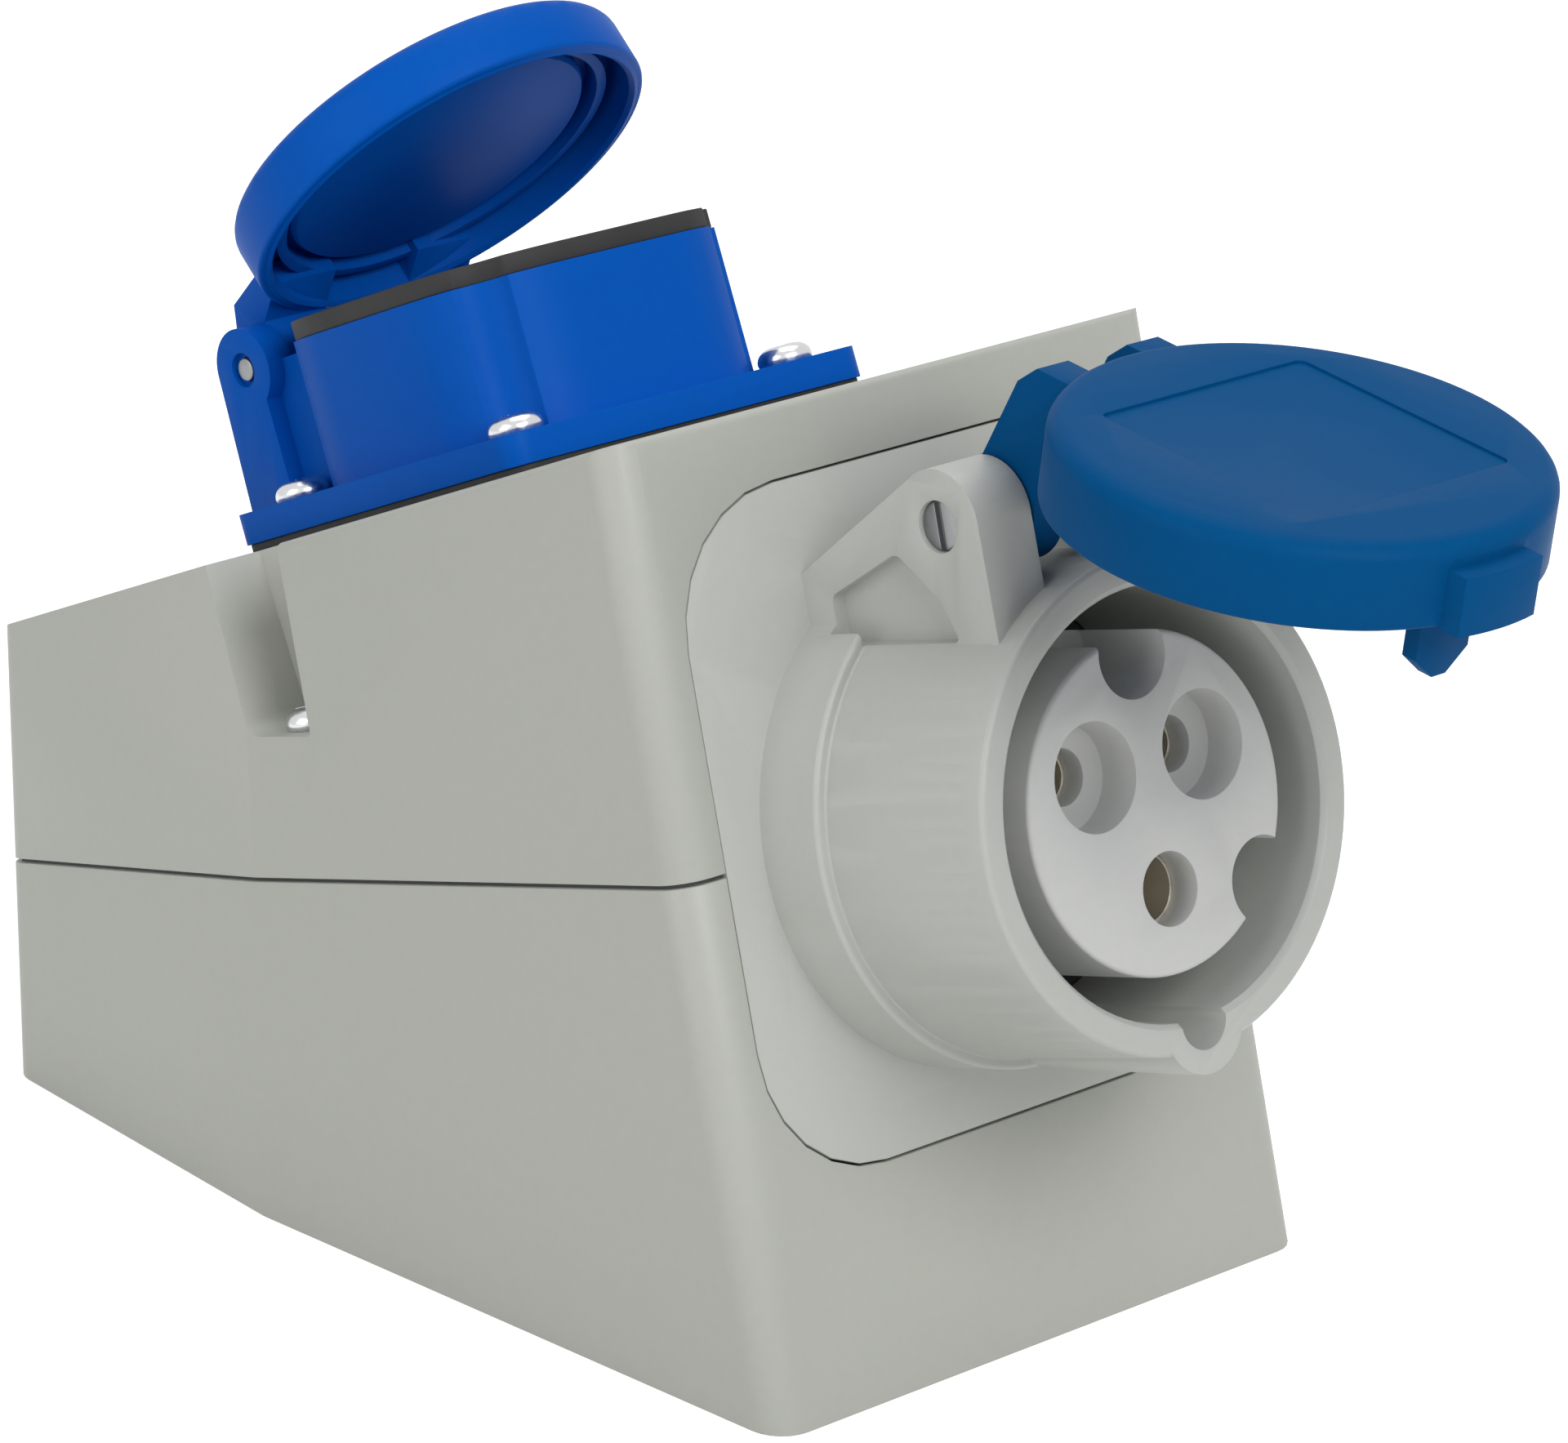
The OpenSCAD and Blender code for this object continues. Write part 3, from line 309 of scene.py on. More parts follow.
@dataclass(frozen=True)
class TurnedMetal(Finish):
    """A metal with fine tool marks along one direction."""

    stretch: tuple[float, float, float] = (1.0, 1.0, 1.0)

    # How far tool marks lower and raise the roughness
    MARK_DRIFT: ClassVar[tuple[float, float]] = (-0.06, 0.08)

    def surface(self, tree: bpy.types.NodeTree, place: bpy.types.NodeSocket) -> tuple:
        """Builds colour, roughness and normal for a turned or drawn metal; see Finish.surface."""
        mapping = add_node(tree, "ShaderNodeMapping", {"Scale": self.stretch}, Vector=place)
        marks = add_node(
            tree,
            "ShaderNodeTexNoise",
            {"Scale": per_metre(self.grain_mm), "Detail": 4.0},
            Vector=mapping.outputs[0],
        )
        stain = add_node(
            tree, "ShaderNodeTexNoise", {"Scale": per_metre(self.mottle_mm), "Detail": 4.0}, Vector=place
        )
        colour = add_node(
            tree,
            "ShaderNodeMix",
            {"data_type": "RGBA", 6: self.shade(1 - self.mottle), 7: self.shade(1 + self.mottle)},
            i0=stain.outputs[0],
        )
        low, high = (self.roughness + drift for drift in self.MARK_DRIFT)
        rough = spread(tree, marks.outputs[0], low, high)
        return colour.outputs[2], rough, self.relief(tree, marks.outputs[0])


# ---- mesh tools -------------------------------------------------------------------------------------


def deselect() -> None:
    """Leaves edit mode and deselects everything."""
    if bpy.context.object and bpy.context.object.mode != "OBJECT":
        bpy.ops.object.mode_set(mode="OBJECT")
    bpy.ops.object.select_all(action="DESELECT")


def activate(piece: bpy.types.Object) -> None:
    """Makes a piece the only one selected."""
    deselect()
    piece.select_set(True)
    bpy.context.view_layer.objects.active = piece


def apply_modifier(piece: bpy.types.Object, kind: str, **settings) -> None:
    """Adds a modifier to a piece and applies it.

    Args:
        piece: The piece.
        kind: The modifier's Blender type.
        settings: The modifier's settings.
    """
    activate(piece)
    modifier = piece.modifiers.new(kind.lower(), kind)
    for key, value in settings.items():
        setattr(modifier, key, value)
    bpy.ops.object.modifier_apply(modifier=modifier.name)


def smooth(piece: bpy.types.Object, degrees: float = 32.0) -> None:
    """Shades a piece smooth, with edges sharper than an angle kept sharp."""
    activate(piece)
    bpy.ops.object.shade_smooth_by_angle(angle=math.radians(degrees))


def put(piece: bpy.types.Object, frame: Matrix) -> None:
    """Moves a piece's mesh from its own frame to the part's."""
    piece.data.transform(frame)
    piece.data.update()


def dress(piece: bpy.types.Object, finish: bpy.types.Material) -> None:
    """Gives a piece one material."""
    piece.data.materials.clear()
    piece.data.materials.append(finish)


def join(pieces: list[bpy.types.Object], name: str) -> bpy.types.Object:
    """Joins pieces into one and names it."""
    activate(pieces[0])
    for piece in pieces:
        piece.select_set(True)
    bpy.ops.object.join()
    pieces[0].name = name
    return pieces[0]


def turned(
    name: str, profile: list[tuple[float, float]], sides: int, closed: bool = True
) -> bpy.types.Object:
    """Turns a profile about Z by drawing a ring out and resizing it, step by step.

    Args:
        name: The piece's name.
        profile: Radius and height of each step, in metres; a radius of 0 closes a pole.
        sides: The number of sides.
        closed: Whether the last step joins the first.

    Returns:
        The piece, about its own Z axis.
    """
    deselect()
    tiny = 1e-7
    steps = [(max(r, tiny), z) for r, z in profile]
    if closed:
        steps.append(steps[0])
    r0, z0 = steps[0]
    bpy.ops.mesh.primitive_circle_add(vertices=sides, radius=r0, fill_type="NOTHING", location=(0, 0, 0))
    piece = bpy.context.object
    piece.name = name
    piece.data.transform(shift(0, 0, z0))
    bpy.ops.object.mode_set(mode="EDIT")
    bpy.ops.mesh.select_all(action="SELECT")
    for r, z in steps[1:]:
        bpy.ops.mesh.extrude_region_move(TRANSFORM_OT_translate={"value": (0, 0, z - z0)})
        if abs(r - r0) > tiny / 2:
            bpy.ops.transform.resize(value=(r / r0, r / r0, 1), center_override=(0, 0, z))
        r0, z0 = r, z
    bpy.ops.mesh.select_all(action="SELECT")
    bpy.ops.mesh.remove_doubles(threshold=MERGE)
    bpy.ops.mesh.normals_make_consistent(inside=False)
    bpy.ops.object.mode_set(mode="OBJECT")
    return piece


@dataclass(frozen=True)
class Bench:
    """What every sub-assembly works with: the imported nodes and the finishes."""

    nodes: dict
    finishes: dict

    def keep(self, node: str, finish: str) -> None:
        """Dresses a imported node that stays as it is."""
        dress(self.nodes[node], self.finishes[finish])

    def moulding(
        self, node: str, body: Body, finish: str, radius_mm: float, steps: int = 2, angle: float = 28.0
    ) -> bpy.types.Object:
        """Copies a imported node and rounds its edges, as a moulded or machined piece has them.

        Args:
            node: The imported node.
            body: The body that it rides on.
            finish: The finish's name.
            radius_mm: The radius of its edges.
            steps: The faces across each rounding.
            angle: The least angle of an edge that is rounded.

        Returns:
            The new piece.
        """
        piece = bpy.data.objects.new(f"{node}_moulding", self.nodes[node].data.copy())
        bpy.context.scene.collection.objects.link(piece)
        activate(piece)
        bpy.ops.object.mode_set(mode="EDIT")
        bpy.ops.mesh.select_all(action="SELECT")
        bpy.ops.mesh.remove_doubles(threshold=MERGE)
        bpy.ops.mesh.dissolve_limited(angle_limit=math.radians(FLAT_TURN))
        bpy.ops.object.mode_set(mode="OBJECT")
        apply_modifier(
            piece,
            "BEVEL",
            width=radius_mm * MM,
            segments=steps,
            limit_method="ANGLE",
            angle_limit=math.radians(angle),
            use_clamp_overlap=True,
            miter_outer="MITER_ARC",
        )
        return self.fit(piece, node, body, finish)

    def fit(self, piece: bpy.types.Object, node: str, body: Body, finish: str) -> bpy.types.Object:
        """Shades and dresses a finished piece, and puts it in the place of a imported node.

        Args:
            piece: The piece, in the part's frame.
            node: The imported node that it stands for, or nothing.
            body: The body that it rides on.
            finish: The finish's name.

        Returns:
            The same piece.
        """
        smooth(piece)
        dress(piece, self.finishes[finish])
        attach(piece, body.value)
        if node:
            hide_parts(node)
        LOG.info("%s: %d faces, %s", piece.name, len(piece.data.polygons), finish)
        return piece


@dataclass(frozen=True)
class PanHeadScrew:
    """A pan-head machine screw with a cross recess, its head's seat at the origin.

    Sizes are in millimetres. Each share is a part of the shank's or the head's own size.
    """

    shank_r: float
    shank_l: float
    head_r: float
    head_h: float
    sides: int = 48
    thread_depth: float = 0.22
    thread_pitch: float = 0.8
    point_l: float = 0.6
    point_share: float = 0.6
    plain_share: float = 0.45
    run_out: float = 0.4
    head_edge: float = 0.15
    flat_share: float = 0.42
    rim_share: float = 0.25
    crown_share: float = 1.03
    dome_steps: int = 8
    recess_share: float = 1.18
    blade_share: float = 0.26
    recess_taper: tuple[float, float] = (0.45, 0.55)

    def profile(self) -> list[tuple[float, float]]:
        """Returns radius and height of the screw's outline, from its tip to the middle of its head."""
        outline = [(0.0, -self.shank_l), (self.shank_r * self.point_share, -self.shank_l)]
        z = -self.shank_l + self.point_l
        while z < -self.shank_l * self.plain_share:
            outline += [(self.shank_r - self.thread_depth, z), (self.shank_r, z + self.thread_pitch / 2)]
            z += self.thread_pitch
        outline += [(self.shank_r, z + self.run_out), (self.shank_r, 0.0)]
        outline.append((self.head_r - self.head_edge, 0.0))
        for i in range(self.dome_steps + 1):
            turn = math.radians(90 * i / self.dome_steps)
            reach = self.head_r * (self.flat_share + (1 - self.flat_share) * math.cos(turn))
            rise = self.head_h * (self.rim_share + (1 - self.rim_share) * math.sin(turn))
            outline.append((reach, rise))
        outline.append((0.0, self.head_h * self.crown_share))
        return [(r * MM, z * MM) for r, z in outline]

    def model(self, name: str) -> bpy.types.Object:
        """Models the screw and sinks the recess into its head.

        Args:
            name: The piece's name.

        Returns:
            The screw, pointing down its own Z axis.
        """
        screw = turned(name, self.profile(), self.sides, closed=False)
        long, wide = self.head_r * self.recess_share * MM, self.head_r * self.blade_share * MM
        for angle in (45, 135):
            blade = wedge((long, wide, self.head_h * MM), self.head_h * 1.1 * MM, self.recess_taper)
            blade.data.transform(Matrix.Rotation(math.radians(angle), 4, "Z"))
            cut(screw, blade)
        return screw

    def set_in(self, name: str, places: list[Matrix]) -> bpy.types.Object:
        """Models the screw once and copies it to each place, as one piece.

        Args:
            name: The piece's name.
            places: The frame of each screw's seat.

        Returns:
            All of the screws as one piece.
        """
        first = self.model(name)
        copies = [first]
        for _ in places[1:]:
            twin = bpy.data.objects.new(name, first.data.copy())
            bpy.context.scene.collection.objects.link(twin)
            copies.append(twin)
        for screw, place in zip(copies, places):
            put(screw, place)
        return join(copies, name)


@dataclass(frozen=True)
class HingePin:
    """A turned pin along X, with a collar and a screwdriver slot at each end. Millimetres."""

    radius: float
    half_length: float
    collar: float = 0.0
    collar_l: float = 1.3
    slot: float = 0.0
    slot_depth: float = 0.65

    # Steps in from the radius and the end face that round each end
    ROUNDING: ClassVar[tuple] = ((0.3, 0.0), (0.1, 0.12), (0.0, 0.35))

    def model(self, name: str) -> bpy.types.Object:
        """Turns the pin and cuts its slots; returns it about the origin."""
        end, out = self.half_length, self.radius + self.collar
        half = [(0.0, end)] + [(out - inset, end - drop) for inset, drop in self.ROUNDING]
        half += [(out, end - self.collar_l), (self.radius, end - self.collar_l)]
        outline = half + [(r, -z) for r, z in reversed(half)]
        pin = turned(name, [(r * MM, z * MM) for r, z in outline], 48, closed=False)
        if self.slot:
            for side in (0, 180):
                depth = (self.slot_depth + OVERSHOOT) * MM
                blade = wedge((out * 2.4 * MM, self.slot * MM, depth), end * MM + OVERSHOOT * MM)
                blade.data.transform(turn_x(side))
                cut(pin, blade)
        put(pin, Z_TO_X)
        return pin


@dataclass(frozen=True)
class CoilSpring:
    """A torsion spring of round wire along X, with a straight leg at each end. Millimetres."""

    coil_r: float
    wire_r: float
    turns: int
    length: float
    leg: float
    start: float
    wire_sides: int = 14
    coil_steps: int = 36

    def model(self, name: str) -> bpy.types.Object:
        """Winds the wire with a screw modifier, then draws out its two ends.

        Args:
            name: The piece's name.

        Returns:
            The spring about the origin.
        """
        deselect()
        bpy.ops.mesh.primitive_circle_add(
            vertices=self.wire_sides, radius=self.wire_r * MM, fill_type="NGON"
        )
        spring = bpy.context.object
        spring.name = name
        spring.data.transform(shift(self.coil_r * MM, 0, -self.length / 2 * MM) @ turn_x(90))
        bpy.ops.object.mode_set(mode="EDIT")
        bpy.ops.mesh.select_all(action="SELECT")
        bpy.ops.mesh.delete(type="ONLY_FACE")
        bpy.ops.object.mode_set(mode="OBJECT")
        apply_modifier(
            spring,
            "SCREW",
            axis="Z",
            angle=math.tau,
            iterations=self.turns,
            screw_offset=self.length / self.turns * MM,
            steps=self.coil_steps,
            render_steps=self.coil_steps,
            use_merge_vertices=False,
        )
        for low_end, way in ((True, -1), (False, 1)):
            self.draw_out(spring, low_end, way)
        put(spring, Z_TO_X @ Matrix.Rotation(math.radians(self.start), 4, "Z"))
        return spring

    def draw_out(self, spring: bpy.types.Object, low_end: bool, way: int) -> None:
        """Draws one end of the wire out into a straight leg, and closes it.

        Args:
            spring: The spring.
            low_end: Whether it is the end the winding starts from.
            way: The leg's direction along the tangent.
        """
        activate(spring)
        middle = self.length / 2 * MM * (-1 if low_end else 1)
        reach = self.wire_r * 1.4 * MM
        centre = Vector((self.coil_r * MM, 0, middle))
        bpy.ops.object.mode_set(mode="EDIT")
        bpy.ops.mesh.select_all(action="DESELECT")
        bpy.ops.mesh.select_mode(type="EDGE")
        bpy.ops.mesh.select_non_manifold()
        bpy.ops.object.mode_set(mode="OBJECT")
        points = spring.data.vertices
        for edge in spring.data.edges:
            ends = [points[i].co for i in edge.vertices]
            edge.select = edge.select and all((p - centre).length < reach for p in ends)
        for face in spring.data.polygons:
            face.select = False
        for point in points:
            point.select = False
        for edge in spring.data.edges:
            if edge.select:
                for i in edge.vertices:
                    points[i].select = True
        bpy.ops.object.mode_set(mode="EDIT")
        bpy.ops.mesh.extrude_region_move(TRANSFORM_OT_translate={"value": (0, way * self.leg * MM, 0)})
        bpy.ops.mesh.edge_face_add()
        bpy.ops.mesh.select_all(action="SELECT")
        bpy.ops.mesh.normals_make_consistent(inside=False)
        bpy.ops.object.mode_set(mode="OBJECT")


def wedge(
    size: tuple[float, float, float], top: float, taper: tuple[float, float] = (1.0, 1.0)
) -> bpy.types.Object:
    """Models a cutting blade: a block whose lower face is narrower.

    Args:
        size: Its length, width and height.
        top: The height of its upper face.
        taper: The lower face's share of length and width.

    Returns:
        The blade.
    """
    deselect()
    bpy.ops.mesh.primitive_cube_add(size=1, location=(0, 0, 0))
    blade = bpy.context.object
    blade.data.transform(shift(0, 0, top - size[2] / 2) @ Matrix.Diagonal((*size, 1)))
    bpy.ops.object.mode_set(mode="EDIT")
    bpy.ops.mesh.select_all(action="DESELECT")
    bpy.ops.object.mode_set(mode="OBJECT")
    low = min(point.co.z for point in blade.data.vertices)
    for point in blade.data.vertices:
        point.select = point.co.z < low + size[2] / 4
    bpy.ops.object.mode_set(mode="EDIT")
    bpy.ops.transform.resize(value=(*taper, 1), center_override=(0, 0, low))
    bpy.ops.object.mode_set(mode="OBJECT")
    return blade


def cut(piece: bpy.types.Object, blade: bpy.types.Object) -> None:
    """Cuts a blade's shape out of a piece and clears the blade away."""
    apply_modifier(piece, "BOOLEAN", operation="DIFFERENCE", solver="EXACT", object=blade)
    bpy.data.objects.remove(blade, do_unlink=True)


# ---- finishes ---------------------------------------------------------------------------------------

FINISHES = (
    # Spark-eroded polyamide of the case: a warm mid grey with a soft sheen and a fine even grain
    Finish("moulded_polyamide_grey", "#adafa8", 0.46, mottle=0.015, specular=0.4),
    # The same resin in the sleeve's tool, polished a little more
    Finish("moulded_polyamide_sleeve", "#b2b4af", 0.4, grain_depth_mm=0.008, mottle=0.015),
    # Pale insert: a filled resin, matt and slightly chalky
    Finish("filled_resin_pale", "#c6c7c5", 0.5, grain_depth_mm=0.008, mottle=0.015),
    # Signal blue polyamide of the household unit, satin with clear highlights
    Finish(
        "moulded_polyamide_blue",
        "#0053b2",
        0.45,
        grain_depth_mm=0.006,
        mottle=0.03,
        scuff=0.08,
        specular=0.06,
    ),
    # Deeper blue of the round lid, in a smoother tool
    Finish(
        "moulded_polyamide_deep_blue",
        "#024b80",
        0.46,
        grain_depth_mm=0.005,
        mottle=0.03,
        scuff=0.08,
        specular=0.03,
    ),
    # Moulded seal rubber: near black, dull, with a faint bloom
    Finish("moulded_rubber_black", "#161618", 0.66, mottle=0.15, mottle_mm=9.0, scuff=0.1),
    # Foamed seam gasket: dark grey
    Finish("foamed_rubber_grey", "#4c4d4e", 0.7, mottle=0.08, mottle_mm=7.0),
    # Bright zinc on steel screws: pale, slightly hazy
    TurnedMetal("zinc_plated_steel", "#d3d4d6", 0.2, metallic=1.0, grain_mm=0.6, grain_depth_mm=0.003),
    # Drawn steel of the hinge pins, with marks along its length; its grey is partly the steel's own and
    # partly darkened as painted shade for the pin ends, which sit deep in their holes
    TurnedMetal("drawn_steel_painted_shade", "#8f9193", 0.4, metallic=1.0, grain_mm=0.5, stretch=(0.08, 1.0, 1.0)),
    # Spring wire: darker, oiled
    TurnedMetal("spring_wire", "#9a9c9f", 0.3, metallic=1.0, grain_mm=0.5, grain_depth_mm=0.004),
    # Turned brass under nickel: a warm pale grey, dulled by handling
    TurnedMetal(
        "nickel_plated_brass", "#cfcabd", 0.42, metallic=1.0, grain_mm=0.4, mottle=0.08, mottle_mm=6.0
    ),
    # Nickel-plated strip of the earth strap
    TurnedMetal("nickel_plated_strip", "#c6c3ba", 0.28, metallic=1.0, grain_mm=0.5, stretch=(1.0, 0.1, 0.1)),
)


# ---- sub-assemblies ---------------------------------------------------------------------------------


@dataclass
class SurfaceCase:
    """The grey two-part case with its seam gasket, cover screws and cable grommet. Millimetres."""

    bench: Bench
    edge: float = 0.1
    screw: PanHeadScrew = PanHeadScrew(1.9, 30.0, 3.1, 2.3)
    screw_x: float = 34.35
    screw_y: float = 62.9
    recess_h: float = 16.0
    entry_r: float = 9.959
    entry_h: float = 14.559
    brim: float = 1.4
    cable_r: float = 5.059
    nose: float = 5.0
    nose_in: float = 1.5
    nose_wall: float = 1.5
    nose_steps: int = 3
    wall: float = 2.5
    lip_t: float = 1.6
    lip_out: float = 0.8
    slack: float = 0.1
    outer_ease: float = 0.3
    inner_ease: float = 0.2

    # Steps in from the brim's rim and up from the case, and out and up from each step of the nose
    BRIM_EDGE: ClassVar[tuple] = ((0.2, 0.0), (0.0, 0.2), (0.0, 0.9), (0.3, 1.3), (0.8, 1.6))
    NOSE_EDGE: ClassVar[tuple] = ((0.5, 0.0), (0.2, 0.3))

    def build(self) -> None:
        """Builds the case's pieces."""
        self.bench.moulding("back_box", Body.HOUSING, "moulded_polyamide_grey", self.edge)
        self.bench.moulding("cover", Body.HOUSING, "moulded_polyamide_grey", self.edge)
        self.bench.keep("cover_gasket", "foamed_rubber_grey")
        for side, name in ((-1, "cover_screw_left"), (1, "cover_screw_right")):
            seat = CASE @ shift(side * self.screw_x * MM, self.screw_y * MM, SEAM_H + self.recess_h * MM)
            screw = self.screw.set_in(f"{name}_head", [seat])
            self.bench.fit(screw, name, Body.HOUSING, "zinc_plated_steel")
        self.bench.fit(self.grommet(), "entry_grommet", Body.HOUSING, "moulded_rubber_black")

    def grommet(self) -> bpy.types.Object:
        """Turns the stepped rubber grommet that closes the cable entry."""
        hole, entry, wall, nose = self.cable_r, self.entry_r, self.wall, self.nose
        back, lip, rim = -wall - self.lip_t, entry + self.lip_out, entry + self.brim
        outline = [(hole, back), (lip - self.outer_ease, back), (lip, back + self.outer_ease)]
        outline += [(lip, -wall - self.slack), (lip - self.inner_ease, -wall)]
        outline += [(entry - self.slack, -wall), (entry - self.slack, 0.0)]
        outline += [(rim - inset, rise) for inset, rise in self.BRIM_EDGE]
        foot_r, foot, top_r = entry - self.nose_in, self.BRIM_EDGE[-1][1], hole + self.nose_wall
        outline.append((foot_r, foot))
        for i in range(self.nose_steps):
            r = foot_r + (top_r - foot_r) * (i + 1) / self.nose_steps
            z = foot + (nose - foot) * (i + 0.5) / self.nose_steps
            outline += [(r + out, z + rise) for out, rise in self.NOSE_EDGE]
        outline += [(top_r, nose - self.outer_ease), (top_r - self.outer_ease, nose)]
        outline += [(hole + self.inner_ease, nose), (hole, nose - self.inner_ease)]
        piece = turned("entry_grommet_body", [(r * MM, z * MM) for r, z in outline], 64)
        put(piece, shift(0, CASE_L / 2, self.entry_h * MM) @ turn_x(-90))
        return piece


@dataclass
class RoundSocket:
    """The three-pole socket: sleeve, gasket, contact insert, contacts and their screws. Millimetres."""

    bench: Bench
    edge: float = 0.12
    insert_screw: PanHeadScrew = PanHeadScrew(1.25, 3.9, 2.0, 1.3, 32, 0.15, 0.6)
    clamp_screw: PanHeadScrew = PanHeadScrew(1.5, 3.3, 2.3, 1.4, 32, 0.15, 0.6)
    insert_r: float = 17.9
    mouth_r: float = 22.6
    web_low: float = 2.0
    web_high: float = 4.5
    flange: float = 2.5
    contact_r: float = 9.0
    line_barrel_r: float = 4.8
    earth_barrel_r: float = 5.4
    clamp_z: float = -23.5
    clamp_off: float = 0.6
    line_turns: tuple[float, float] = (150.0, 30.0)
    earth_turn: float = -90.0
    ring_gap_in: float = 0.05
    ring_gap_out: float = 0.15
    ring_side: float = 0.9
    ring_top: float = 1.2
    ring_dip: float = 0.8
    ring_ease: float = 0.4

    def build(self) -> None:
        """Builds the socket's pieces."""
        self.bench.moulding("plug_sleeve", Body.HOUSING, "moulded_polyamide_sleeve", self.edge)
        self.bench.keep("sleeve_gasket", "foamed_rubber_grey")
        self.bench.moulding("contact_insert", Body.HOUSING, "filled_resin_pale", 0.3)
        # A black ring laid at the floor of the gap between insert and sleeve: painted shade for the dark of
        # that deep gap
        self.bench.fit(self.painted_shade_ring(), "", Body.HOUSING, "moulded_rubber_black")
        for node in ("plug_line_contact_left", "plug_line_contact_right", "plug_earth_contact"):
            self.bench.moulding(node, Body.HOUSING, "nickel_plated_brass", 0.15)
        self.screws()

    def painted_shade_ring(self) -> bpy.types.Object:
        """Turns a black rubber ring that paints in the shade at the floor of the gap between the insert and
        the sleeve's web.
        """
        inner, outer = self.insert_r + self.ring_gap_in, self.mouth_r - self.ring_gap_out
        low, side = self.web_high, self.web_high + self.ring_side
        top, dip = low + self.ring_top, low + self.ring_dip
        outline = [(inner, low), (outer, low), (outer, side), (outer - self.ring_ease, top)]
        outline += [((inner + outer) / 2, dip), (inner + self.ring_ease, top), (inner, side)]
        ring = turned("insert_painted_shade_ring", [(r * MM, z * MM) for r, z in outline], 96)
        put(ring, SOCKET)
        return ring

    def screws(self) -> None:
        """Sets the screws of the insert and of the three barrels."""
        middle = (self.insert_r + self.mouth_r) / 2
        seat = shift(middle * MM, 0, (self.web_low - self.flange) * MM) @ turn_x(180)
        seats = [SOCKET @ Matrix.Rotation(a, 4, "Z") @ seat for a in (0.0, math.pi)]
        piece = self.insert_screw.set_in("insert_screw_pair", seats)
        self.bench.fit(piece, "insert_screws", Body.HOUSING, "zinc_plated_steel")
        across = Matrix.Rotation(math.radians(90), 4, "Y")
        barrels = [(a, self.line_barrel_r) for a in self.line_turns]
        barrels.append((self.earth_turn, self.earth_barrel_r))
        seats = [
            SOCKET
            @ Matrix.Rotation(math.radians(a), 4, "Z")
            @ shift((self.contact_r + barrel + self.clamp_off) * MM, 0, self.clamp_z * MM)
            @ across
            for a, barrel in barrels
        ]
        piece = self.clamp_screw.set_in("plug_clamp_screw_set", seats)
        self.bench.fit(piece, "plug_clamp_screws", Body.HOUSING, "zinc_plated_steel")


@dataclass
class RoundLid:
    """The deep blue lid of the round socket with its ring seal, pin and spring. Millimetres."""

    bench: Bench
    edge: float = 0.35
    pin: HingePin = HingePin(2.0, 16.1, 0.65, 1.3, 0.9)
    spring: CoilSpring = CoilSpring(3.2, 0.5, 5, 6.4, 4.5, 200.0)
    seal_in: float = 22.2
    seal_out: float = 23.8
    seal_low: float = 31.62
    seal_t: float = 1.9
    seal_ease: float = 0.35
    groove_in: float = 0.75
    groove_depth: float = 0.25

    def build(self) -> None:
        """Builds the lid's pieces."""
        self.bench.moulding("plug_lid", Body.PLUG_LID, "moulded_polyamide_deep_blue", self.edge, 3)
        self.bench.fit(self.seal(), "plug_lid_seal", Body.PLUG_LID, "moulded_rubber_black")
        pin = self.pin.model("plug_lid_pin_turned")
        put(pin, SOCKET @ shift(0, HINGE_UP, HINGE_OUT))
        self.bench.fit(pin, "plug_lid_pin", Body.HOUSING, "drawn_steel_painted_shade")
        spring = self.spring.model("plug_lid_spring_wound")
        put(spring, PLUG_HINGE)
        self.bench.fit(spring, "plug_lid_spring", Body.PLUG_LID, "spring_wire")

    def seal(self) -> bpy.types.Object:
        """Turns the lid's ring seal with its rounded lips."""
        low, high = self.seal_low, self.seal_low + self.seal_t
        ease = self.seal_ease
        outline = [(self.seal_in, high), (self.seal_in, low + ease), (self.seal_in + ease, low)]
        outline += [(self.seal_in + self.groove_in, low + self.groove_depth), (self.seal_out - ease, low)]
        outline += [(self.seal_out, low + ease), (self.seal_out, high)]
        ring = turned("plug_lid_ring_seal", [(r * MM, z * MM) for r, z in outline], 96)
        put(ring, PLUG_LID)
        return ring


